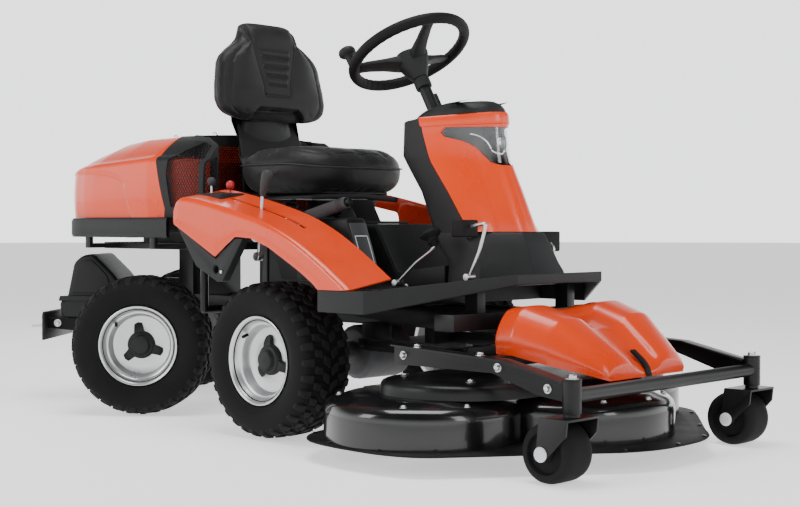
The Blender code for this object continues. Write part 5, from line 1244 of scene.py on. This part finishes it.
net = honeycomb(side_window, on_side)
nets = [net, flipped(net)]
net = honeycomb(wing_window, lambda y, z, sink: (HOOD_FRONT - 0.002 - sink, y, z))
nets += [net, flipped(net), honeycomb(bay_window, lambda y, z, sink: (BAY_X - 0.001 - sink, y, z))]
piece("hood_mesh", join(*nets), DARK_PLASTIC, "hood", weld=1e-7)
guards = []
for side in (-1, 1):
    bend = smooth_path([(-0.548, side * 0.300, 0), (-0.500, side * 0.302, 0), (-0.462, side * 0.286, 0),
                        (-0.436, side * 0.258, 0), (-0.430, side * 0.240, 0)], 6)
    guards.append(loft([[(p.x, p.y, z) for p in bend] for z in (0.580, 0.640, 0.700, 0.742)], caps=False,
                       closed=False))
guards.append(loft([[(BAY_X - 0.014, y, z) for y in (-0.215, -0.1, 0, 0.1, 0.215)] for z in (0.580, 0.740)],
                   caps=False, closed=False))
piece("engine_guard", join(*guards), GUARD, "hood", wall=0.002)
spine = []
for x, half, rise in ((-0.960, 0.060, -0.004), (-0.952, 0.085, 0.012), (-0.925, 0.104, 0.017),
                      (-0.880, 0.108, 0.015),
                      (-0.830, 0.100, 0.009), (-0.790, 0.084, 0.004), (-0.755, 0.060, 0.000)):
    z = TOP + between(PEAK, x - REAR_X)
    spine.append([(x, half * math.cos(a), z + (rise + 0.004) * min(math.sin(a) * 1.6, 1)) for a in
                  (PI * k / 16 for k in range(17))] + [(x, -half, z - 0.012), (x, half, z - 0.012)])
piece("hood_spine", loft(spine), PLASTIC, "hood", angle=40)
latches = []
for x in (-0.900, -0.700):
    z = TOP + between(PEAK, x - REAR_X) + (0.022 if x < -0.8 else 0.007)
    hook = [(x - 0.016, 0.0, z + 0.016), (x - 0.010, 0.0, z + 0.020), (x - 0.004, 0.004, z + 0.016),
            (x - 0.006, 0.008, z + 0.006), (x + 0.002, 0.008, z + 0.001), (x + 0.010, 0.004, z + 0.003),
            (x + 0.012, -0.004, z + 0.010), (x + 0.006, -0.006, z + 0.014)]
    latches.append(tube(smooth_path(hook, 6), 0.0016, 10))
    latches.append(rod((x + 0.018, 0, z - 0.003), (x + 0.018, 0, z + 0.006), 0.0045, 16, 0.001))
piece("hood_latches", join(*latches), ZINC, "hood")
vents = [box((HOOD_BACK - 0.006, -0.17, z), (HOOD_BACK + 0.001, 0.17, z + 0.010)) for z in
         (0.600, 0.620, 0.640, 0.660)]
piece("hood_rear_louvres", join(*vents), PLASTIC, "hood", bevel=0.002, parts=2)
tail_bits = [loft([[(HOOD_BACK - 0.012 * k, side * (0.205 + dy), 0.585 + dz) for dy, dz in
                    ((0, 0), (0.045, 0), (0.045, 0.095), (0.030, 0.110),
                     (0, 0.110))] for k in (0, 1)]) for side in (-1, 1)]
piece("hood_rear_pads", join(*tail_bits), PLASTIC, "hood", bevel=0.004, parts=3)

# ------------------------------------------------------------------ seat
SEAT_FRONT, SEAT_LONG, SEAT_HALF = -0.015, 0.400, 0.225
PAN = TOP + 0.2875 + 0.0108
CUSHION = PAN + 0.0108
SEAT_MID = SEAT_FRONT - SEAT_LONG / 2


def puff(obj, cap):
    """Swells a closed pad with cloth under pressure, no point further than the cap."""
    scene = bpy.context.scene
    remesh = obj.modifiers.new("voxels", "REMESH")
    remesh.mode = "VOXEL"
    remesh.voxel_size = VOXEL
    settle(obj, 180)
    start = [v.co.copy() for v in obj.data.vertices]
    cloth = obj.modifiers.new("cloth", "CLOTH")
    cloth.settings.use_pressure = True
    cloth.settings.uniform_pressure_force = CLOTH_PRESSURE
    cloth.settings.effector_weights.gravity = 0
    cloth.settings.quality = 4
    cloth.point_cache.frame_start, cloth.point_cache.frame_end = 1, CLOTH_FRAMES
    for number in range(1, CLOTH_FRAMES + 1):
        scene.frame_set(number)
    graph = bpy.context.evaluated_depsgraph_get()
    made = bpy.data.meshes.new_from_object(obj.evaluated_get(graph), depsgraph=graph)
    obj.modifiers.clear()
    obj.data = made
    scene.frame_set(1)
    for vertex, was in zip(obj.data.vertices, start):
        way = vertex.co - was
        if way.length > cap:
            vertex.co = was + way * (cap / way.length)
    obj.data.shade_smooth()


def refine(obj):
    fine = obj.modifiers.new("fine", "SUBSURF")
    fine.levels = fine.render_levels = 1
    settle(obj, 180)


def press(obj, how):
    """Moves each point along its normal by how(place), which is how seams and channels are sewn in."""
    mesh = obj.data
    shifts = [(v.co + v.normal * how(v.co)) for v in mesh.vertices]
    for vertex, place in zip(mesh.vertices, shifts):
        vertex.co = place
    mesh.update()


def oval(half_x, half_y, level, power, count=72, mid=SEAT_MID):
    ring = []
    for k in range(count):
        t = 2 * PI * k / count
        c, s = math.cos(t), math.sin(t)
        ring.append((mid + half_x * math.copysign(abs(c) ** (2 / power), c),
                     half_y * math.copysign(abs(s) ** (2 / power), s), level))
    return ring




def cushion_ring(height, shrink):
    """A level of the cushion. Its front is higher than its middle, and its sides are highest of all."""
    ring = oval(SEAT_LONG / 2 - shrink, SEAT_HALF - shrink, 0, 2.8)
    share = step(0.066, 0.112, height)
    out = []
    for x, y, _ in ring:
        u, v = (x - SEAT_MID) / 0.2, y / 0.225
        lift = share * (0.010 * v * v - 0.012 * math.exp(-((u + 0.25) / 0.55) ** 2) * (1 - v * v))
        edge = -0.010 * step(0.3, 1.0, u) if height < 0.09 else -0.006 * step(0.4, 1.0, u)
        out.append((x, y, CUSHION + height + lift + edge * (1 if height > 0.02 else 0)))
    return out


levels = [(0.000, 0.034), (0.003, 0.026), (0.012, 0.017), (0.030, 0.007), (0.050, 0.0025), (0.066, 0.0015),
          (0.0735, 0.0020), (0.082, 0.0045), (0.092, 0.011), (0.102, 0.024), (0.110, 0.042), (0.116, 0.066),
          (0.120, 0.098), (0.122, 0.135), (0.123, 0.165), (0.123, 0.190)]
cushion = piece("seat_cushion_pad", loft([cushion_ring(h, s) for h, s in levels]), VINYL, "seat", sub=1,
                stands_for=("seat_cushion",), angle=180)
BACK_HALF = [(0.222, 0.118), (0.228, 0.148), (0.240, 0.184), (0.256, 0.203), (0.280, 0.212), (0.320, 0.209),
             (0.390, 0.196), (0.412, 0.183), (0.435, 0.157), (0.455, 0.129), (0.472, 0.111), (0.495, 0.101),
             (0.512, 0.094), (0.519, 0.084), (0.522, 0.070)]
REAR_EDGE = SEAT_FRONT - SEAT_LONG - 0.002


def back_plane(h):
    return REAR_EDGE - 0.055 - (h - 0.222) * 0.1222 + 0.0005


rings = []
for k in range(61):
    h = 0.2225 + 0.299 * (k / 60)
    half = between(BACK_HALF, h)
    end = min(h - 0.222, 0.522 - h)
    shrink = 0.020 * (1 - step(0, 0.016, end)) ** 1.5 + (0.010 * step(0.47, 0.522, h))
    thick = 0.070 - shrink
    ring = []
    for i in range(84):
        t = 2 * PI * i / 84
        c, s = math.cos(t), math.sin(t)
        bulge = thick / 2 * math.copysign(abs(c) ** (2 / 3.2), c)
        x = back_plane(h) + 0.001 + shrink * 0.4 + thick / 2 + bulge
        ring.append((x, half * math.copysign(abs(s) ** (2 / 3.2), s), PAN + h))
    rings.append(ring)
backrest = piece("seat_back_pad", loft(rings), VINYL, "seat", stands_for=("seat_back",),
                 angle=180)
for pad_object, cap in ((cushion, 0.006), (backrest, 0.005)):
    puff(pad_object, cap)
    refine(pad_object)


def near(value, at, wide):
    return math.exp(-((value - at) / wide) ** 2)


def cushion_form(p):
    u = p.x - AXLE.x - SEAT_MID
    v, h = p.y, p.z - CUSHION
    if h < 0.05:
        return 0.0
    drop = 0.010 * step(0.10, 0.2, u)
    depth = -0.0030 * near(h + drop, 0.0735, 0.0026) if h < 0.088 else 0.0
    top = step(0.088, 0.098, h)
    depth -= top * 0.0026 * near(u, 0.010 - 0.25 * v * v, 0.0028)
    edge = (abs(v) / 0.178) ** 4 + (abs(u) / 0.160) ** 4
    depth -= top * 0.0022 * near(edge, 1.0, 0.06)
    return depth + top * 0.0006 * noise.noise(Vector((u * 28, v * 28, 1.3)))


def back_form(p):
    h, v = p.z - PAN, abs(p.y)
    front = step(0.035, 0.052, p.x - AXLE.x - back_plane(h))
    if front <= 0:
        return 0.0
    half = between(BACK_HALF, min(max(h, 0.222), 0.521))
    panel = between([(0.300, 0.050), (0.330, 0.052), (0.420, 0.075), (0.470, 0.088), (0.522, 0.092)], h)
    shape = 0.0
    if h > 0.300:
        shape -= 0.0042 * near(v, panel, 0.0034)
    shape -= 0.0042 * near(h, 0.300, 0.0034) * (1 - step(panel - 0.004, panel + 0.002, v))
    seam = half - 0.036
    shape -= 0.0026 * near(v, seam, 0.0024) * step(0.236, 0.250, h) * (1 - step(0.428, 0.440, h))
    shape += 0.0060 * math.sin(PI * min(max((v - panel) / max(seam - panel, 0.01), 0),
                                        1)) * step(0.30, 0.34, h)
    shape += 0.0045 * step(seam - 0.004, seam + 0.020, v) * (1 - step(0.44, 0.47, h))
    inner = 1 - step(panel * 0.72 - 0.003, panel * 0.72 + 0.003, v)
    for rib in (0.332, 0.360, 0.388, 0.416):
        shape -= 0.0046 * near(h, rib, 0.0030) * inner
        shape += 0.0022 * near(h, rib + 0.012, 0.008) * inner
    arch = 0.262 - 0.9 * max(v - 0.075, 0)
    shape -= 0.022 * (1 - step(arch - 0.010, arch + 0.004, h)) * (1 - step(0.085, 0.110, v))
    return shape * front


press(cushion, cushion_form)
press(backrest, back_form)
neck = []
for x, z, half in ((-0.400, CUSHION + 0.060, 0.118), (-0.428, CUSHION + 0.090, 0.124),
                   (-0.445, CUSHION + 0.125, 0.118),
                   (-0.455, CUSHION + 0.165, 0.106), (-0.460, CUSHION + 0.205, 0.095),
                   (-0.466, CUSHION + 0.240, 0.088), (-0.474, CUSHION + 0.262, 0.078)):
    neck.append([(x + 0.020 * (math.cos(PI * k / 12 - PI / 2) - 0.2), half * math.sin(PI * k / 12 - PI / 2),
                  z)
                 for k in range(13)])
smooth = []
for k in range(13):
    smooth.append(smooth_path([ring[k] for ring in neck], 4))
neck = [[tuple(smooth[k][i]) for k in range(13)] for i in range(len(smooth[0]))]
piece("seat_neck", loft(neck, caps=False, closed=False), DARK_PLASTIC, "seat", wall=0.006,
      angle=60)
seam = []
for k in range(160):
    t = 2 * PI * k / 160
    c, s = math.cos(t), math.sin(t)
    x = SEAT_MID + (SEAT_LONG / 2 - 0.0022) * math.copysign(abs(c) ** (2 / 2.8), c)
    y = (SEAT_HALF - 0.0022) * math.copysign(abs(s) ** (2 / 2.8), s)
    seam.append((x, y, CUSHION + 0.0735 - 0.010 * step(0.3, 1.0, (x - SEAT_MID) / 0.2)))
piece("seat_piping", tube(seam, 0.0016, 8, closed=True), THREAD, "seat")


# ------------------------------------------------------------------ cutting unit
LIP, DECK_TOP = 0.045, 0.155
SPINDLES = [(0.495, -0.330, 0.240), (0.495, 0.330, 0.240), (0.690, 0.0, 0.245)]
lobes = []
for x, y, radius in SPINDLES:
    outer = [(0, 0), (radius, 0), (radius, 0.064), (radius - 0.0015, 0.074), (radius - 0.006, 0.084),
             (radius - 0.014, 0.092), (radius - 0.028, 0.098), (radius - 0.048, 0.1055),
             (radius - 0.056, 0.1078), (0, 0.1078)]
    lobes.append(turned(outer, (x, y, LIP + 0.002), (0, 0, 1), 88))
bridge = [(0.289, -0.330), (0.289, 0.330), (0.690, 0.330), (0.690, -0.330)]
shell = piece("deck_shell_skin", lobes[0], DECK_BLACK, "deck_shell", stands_for=("deck_shell",),
              angle=30)
merge(shell, lobes[1], lobes[2], prism(bridge, "z", LIP + 0.003, DECK_TOP - 0.0012), angle=30)
hollows = [turned([(0, -0.02), (radius - 0.003, -0.02), (radius - 0.003, 0.072), (radius - 0.010, 0.085),
                   (radius - 0.050, 0.1030), (0, 0.1045)], (x, y, LIP + 0.002), (0, 0, 1), 64) for x, y,
           radius in SPINDLES]
cut(shell, *hollows, prism([(0.293, -0.326), (0.293, 0.326), (0.690, 0.326), (0.690, -0.326)], "z",
                           LIP - 0.02, DECK_TOP - 0.0050), angle=30)
half_edge = [(0.249, 0.0), (0.249, -0.250), (0.232, -0.400), (0.262, -0.490), (0.330, -0.552),
             (0.420, -0.576),
             (0.520, -0.582), (0.600, -0.578), (0.680, -0.548), (0.742, -0.478), (0.820, -0.372),
             (0.905, -0.255), (0.965, -0.175), (0.998, -0.090), (1.005, 0.0)]
curve = [tuple(p)[:2] for p in smooth_path([(x, y, 0) for x, y in half_edge], 5)]
edge = curve + [(x, -y) for x, y in reversed(curve[1:-1])]


def edge_ring(shrink, z):
    ring = []
    for k, (x, y) in enumerate(edge):
        (xa, ya), (xb, yb) = edge[k - 1], edge[(k + 1) % len(edge)]
        length = math.hypot(xb - xa, yb - ya) or 1
        ring.append((x - (yb - ya) / length * shrink, y + (xb - xa) / length * shrink, z))
    return ring


winding = sum(x0 * y1 - x1 * y0 for (x0, y0), (x1, y1) in zip(edge, edge[1:] + edge[:1]))
inward = 1 if winding > 0 else -1
bumper = loft([edge_ring(inward * 0.001, LIP - 0.0002), edge_ring(0, LIP + 0.0010),
               edge_ring(inward * 0.001, LIP + 0.003), edge_ring(inward * 0.006, LIP + 0.0045)])
bumper = piece("deck_bumper", bumper, STEEL_DARK, "deck_shell", angle=45)
cut(bumper, *[rod((x, y, LIP - 0.02), (x, y, LIP + 0.02), radius - 0.0015, 88) for x, y, radius in SPINDLES],
    prism(bridge, "z", LIP - 0.02, LIP + 0.02), angle=45)
tabs = []
for index in range(6, len(edge) - 6, 9):
    x, y = edge[index]
    tabs.append(rod((x * 0.985 + 0.008, y * 0.965, LIP + 0.004),
                    (x * 0.985 + 0.008, y * 0.965, LIP + 0.0075), 0.005, 16))
piece("deck_rivets", join(*tabs), STEEL_BLACK, "deck_shell")
seams = []
for x, y, radius in SPINDLES:
    places = (-150, -60, -20) if y < 0 else (150, 60, 20) if y > 0 else (-35, 0, 35)
    for a in (math.radians(d) for d in places):
        seams.append(bolt((x + (radius - 0.030) * math.cos(a), y + (radius - 0.030) * math.sin(a),
                           DECK_TOP - 0.0105), (0, 0, 1), 0.0065))
for x, y, radius in SPINDLES:
    seams += [bolt((x + 0.078 * math.cos(a), y + 0.078 * math.sin(a), DECK_TOP), (0, 0, 1), 0.006)
              for a in (PI / 4 + PI / 2 * k for k in range(4))]
piece("deck_bolts", join(*seams), ZINC, "deck_shell", bevel=0.0005, parts=1)

cover_half = [(0.370, 0.0), (0.370, -0.220), (0.372, -0.300), (0.384, -0.352), (0.410, -0.396),
              (0.450, -0.428),
              (0.500, -0.446), (0.560, -0.446), (0.620, -0.432), (0.680, -0.398), (0.722, -0.345),
              (0.742, -0.290),
              (0.750, -0.200), (0.762, -0.140), (0.790, -0.118), (0.825, -0.105), (0.845, -0.070),
              (0.850, 0.0)]
curve = [tuple(p)[:2] for p in smooth_path([(x, y, 0) for x, y in cover_half], 4)]
outline = curve + [(x, -y) for x, y in reversed(curve[1:-1])]
rings = []
for shrink, z in ((0.0, DECK_TOP + 0.0004), (0.001, DECK_TOP + 0.014), (0.003, DECK_TOP + 0.023),
                  (0.008, DECK_TOP + 0.030), (0.016, DECK_TOP + 0.0335), (0.030, DECK_TOP + 0.0350)):
    ring = []
    for k, (x, y) in enumerate(outline):
        (xa, ya), (xb, yb) = outline[k - 1], outline[(k + 1) % len(outline)]
        length = math.hypot(xb - xa, yb - ya) or 1
        ring.append((x + inward * -(yb - ya) / length * shrink, y + inward * (xb - xa) / length * shrink, z))
    rings.append(ring)
piece("belt_cover_skin", loft(rings), STEEL_BLACK, "deck_shell", stands_for=("belt_cover",),
                   angle=50)
tops = [bolt((x, y, DECK_TOP + 0.0350), (0, 0, 1), 0.008) for x,
        y in ((0.430, -0.330), (0.430, 0.330), (0.640, -0.330),
                                                                       (0.640, 0.330), (0.800, 0.0))]
piece("belt_cover_bolts", join(*tops), ZINC, "deck_shell", bevel=0.0006, parts=1)
sticker = box((0.300, -0.300, DECK_TOP - 0.0009), (0.350, -0.215, DECK_TOP - 0.0003))
piece("deck_sticker", sticker, YELLOW, "deck_shell", bevel=0.0001, parts=1)
look("deck_belt", SOFT_RUBBER)
for blade in ("blade_right", "blade_centre", "blade_left"):
    dress(blade, ZINC, blade, 0.0006, 1)

# deck frame, arms and the crossbar
dress("deck_frame", STEEL_BLACK, "deck_frame", 0.0018, 3)
ends, heads = [], []
for side in (-1, 1):
    y = side * 0.374
    ends.append(rod((0.964, y + side * 0.0, 0.2222), (0.964, y, 0.2262), 0.0215, 32, 0.001))
    for x, z in ((0.505, 0.2655), (0.700, 0.2588)):
        heads.append(bolt((x, side * 0.366, z), (0.04, 0, 1), 0.0085))
    for x, z in ((0.470, 0.245), (0.760, 0.236), (0.900, 0.200)):
        heads.append(bolt((x, side * 0.376, z), (0, side, 0), 0.0075))
piece("caster_housing_caps", join(*ends), STEEL_BLACK, "deck_frame", bevel=0.001)
piece("deck_frame_bolts", join(*heads), ZINC, "deck_frame", bevel=0.0006, parts=1)

# orange cover between the arms
ROWS = [(0.622, 0.200, 0.2485, 0.316), (0.628, 0.226, 0.2487, 0.342), (0.640, 0.240, 0.2487, 0.356),
        (0.690, 0.243, 0.2487, 0.362), (0.780, 0.224, 0.2300, 0.334), (0.860, 0.184, 0.2120, 0.274),
        (0.893, 0.166, 0.2025, 0.248), (0.905, 0.156, 0.1985, 0.232)]


def cover_ring(x):
    half, low, top = (between([(row[0], row[k]) for row in ROWS], x) for k in (1, 2, 3))
    scoop = step(0.655, 0.700, x) * (1 - 0.3 * step(0.86, 0.905, x))
    waist = low + (top - low) * 0.42
    key = [(-half + 0.004, low), (-half, low + (waist - low) * 0.5), (-half + 0.001, waist),
           (-half * 0.92, waist + (top - waist) * 0.55),
           (-half * 0.80, top - 0.003), (-half * 0.58, top + 0.001), (-half * 0.40, top - 0.004),
           (-half * 0.30, top - 0.004 - 0.016 * scoop),
           (-half * 0.14, top - 0.010 - 0.018 * scoop), (0, top - 0.011 - 0.018 * scoop)]
    curve = smooth_path([(x, y, z) for y, z in key], 4)
    return [tuple(p) for p in curve] + [(p.x, -p.y, p.z) for p in reversed(curve[:-1])]


stations = resampled([(row[0], 0, 0) for row in ROWS], 64)
stations = [0.622, 0.6235, 0.626, 0.630] + [p.x for p in stations[3:-2]] + [0.902, 0.905]
points, faces = loft([cover_ring(x) for x in stations], caps=False, closed=False)
count = len(cover_ring(0.7))
faces.append(list(reversed(range(count))))
faces.append(list(range(len(points) - count, len(points))))
piece("deck_cover_skin", (points, faces), ORANGE, "deck_frame", bevel=0.003, parts=3,
      stands_for=("deck_cover",), angle=34)
strap = []
for x in (0.862, 0.874, 0.886, 0.896, 0.9035, 0.9075):
    top = between([(row[0], row[3]) for row in ROWS], min(x, 0.905))
    z = top - 0.0185 - (0.010 if x > 0.905 else 0)
    strap.append([(x, y, z + dz) for y, dz in ((-0.011, 0.0), (0.011, 0.0), (0.011, 0.005), (-0.011, 0.005))])
strap.append([(0.9095, y, 0.1985 + dz) for y, dz in ((-0.011, 0.0), (0.011, 0.0), (0.011, 0.005),
                                                     (-0.011, 0.005))])
piece("deck_cover_strap", loft(strap), SOFT_RUBBER, "deck_frame", bevel=0.0012)

# casters
for side, tag in ((-1, "right"), (1, "left")):
    dress(f"{tag}_caster_fork", STEEL_BLACK, f"{tag}_caster_fork", 0.0022, 3)
    y, axle = side * 0.374, Vector((0.964 - 0.039, side * 0.374, 0.067))
    half, r = 0.047, 0.0668
    profile = [(0.0070, half - 0.004), (0.0180, half - 0.002), (0.0200, half - 0.010), (0.0420, half - 0.010),
               (0.0460, half - 0.001), (0.0520, half), (0.0590, half - 0.002), (0.0640, half - 0.008),
               (0.0664, half - 0.018), (r, half - 0.030)]
    loop = profile + [(radius, -place) for radius, place in reversed(profile)]
    piece(f"{tag}_caster_roller", turned(loop, axle, (0, 1, 0), 64), RUBBER, f"{tag}_caster_wheel",
          stands_for=(f"{tag}_caster_wheel",), angle=40)
    caps = [turned([(0, 0.0), (0.0165, 0.0), (0.0165, 0.003), (0.0120, 0.006), (0, 0.0070)],
                   axle + Vector((0, s * 0.0572, 0)), (0, s, 0), 36) for s in (1, -1)]
    piece(f"{tag}_caster_caps", join(*caps), PALE, f"{tag}_caster_fork", bevel=0.0008)
    piece(f"{tag}_caster_nut", bolt((0.964, y, 0.2264), (0, 0, 1), 0.010), ZINC, f"{tag}_caster_fork")


# ------------------------------------------------------------------ stage
def stage():
    turns = [2 * PI * k / FLOOR_SIDES for k in range(FLOOR_SIDES)]
    rim = [(FLOOR_RADIUS * math.cos(a), FLOOR_RADIUS * math.sin(a), -0.0005) for a in turns]
    mesh = bpy.data.meshes.new("floor")
    mesh.from_pydata(rim, [], [list(range(FLOOR_SIDES))])
    floor = bpy.data.objects.new("floor", mesh)
    bpy.context.scene.collection.objects.link(floor)
    paper = surface("floor_pale", (0.93, 0.93, 0.93), 0.75, vary=0.004, spread=0.04)
    glow = paper.node_tree.nodes["Principled BSDF"]
    glow.inputs["Emission Color"].default_value = (1, 1, 1, 1)
    glow.inputs["Emission Strength"].default_value = 0.75
    floor.data.materials.append(paper)

    world = bpy.data.worlds.new("studio")
    world.use_nodes = True
    sky = world.node_tree
    sky.nodes["Background"].inputs["Color"].default_value = (0.98, 0.99, 1.0, 1)
    height = add(sky, "ShaderNodeSeparateXYZ")
    sky.links.new(add(sky, "ShaderNodeTexCoord").outputs["Generated"], height.inputs["Vector"])
    sky.links.new(ramp(sky, height.outputs["Z"], 2.3, 0.12, 0.20, 0.50),
                  sky.nodes["Background"].inputs["Strength"])
    bpy.context.scene.world = world

    def lamp(name, place, size, power, aim=(0, 0, 0.45)):
        data = bpy.data.lights.new(name, "AREA")
        data.shape = "RECTANGLE"
        data.size, data.size_y = size
        data.energy = power
        obj = bpy.data.objects.new(name, data)
        obj.location = place
        obj.rotation_euler = (Vector(aim) - Vector(place)).to_track_quat("-Z", "Y").to_euler()
        obj.visible_camera = False
        bpy.context.scene.collection.objects.link(obj)

    lamp("top_soft", (0.3, -0.4, 3.4), (2.2, 1.6), 88)
    lamp("key_left", (-1.4, -3.8, 2.4), (1.2, 1.6), 50)
    lamp("front_strip", (3.6, -0.6, 1.9), (0.7, 1.8), 24)
    lamp("rear_strip", (-3.0, 1.8, 2.4), (0.8, 1.8), 16)


stage()
spot = bpy.data.cameras.new("view")
spot.lens = 63.0
spot.sensor_width = 36.0
camera = bpy.data.objects.new("view", spot)
camera.location = (AXLE.x + 2.758, -2.770, 0.555)
camera.rotation_euler = Vector((-0.6925, 0.7211, -0.0208)).to_track_quat("-Z", "Y").to_euler()
bpy.context.scene.collection.objects.link(camera)
bpy.context.scene.camera = camera
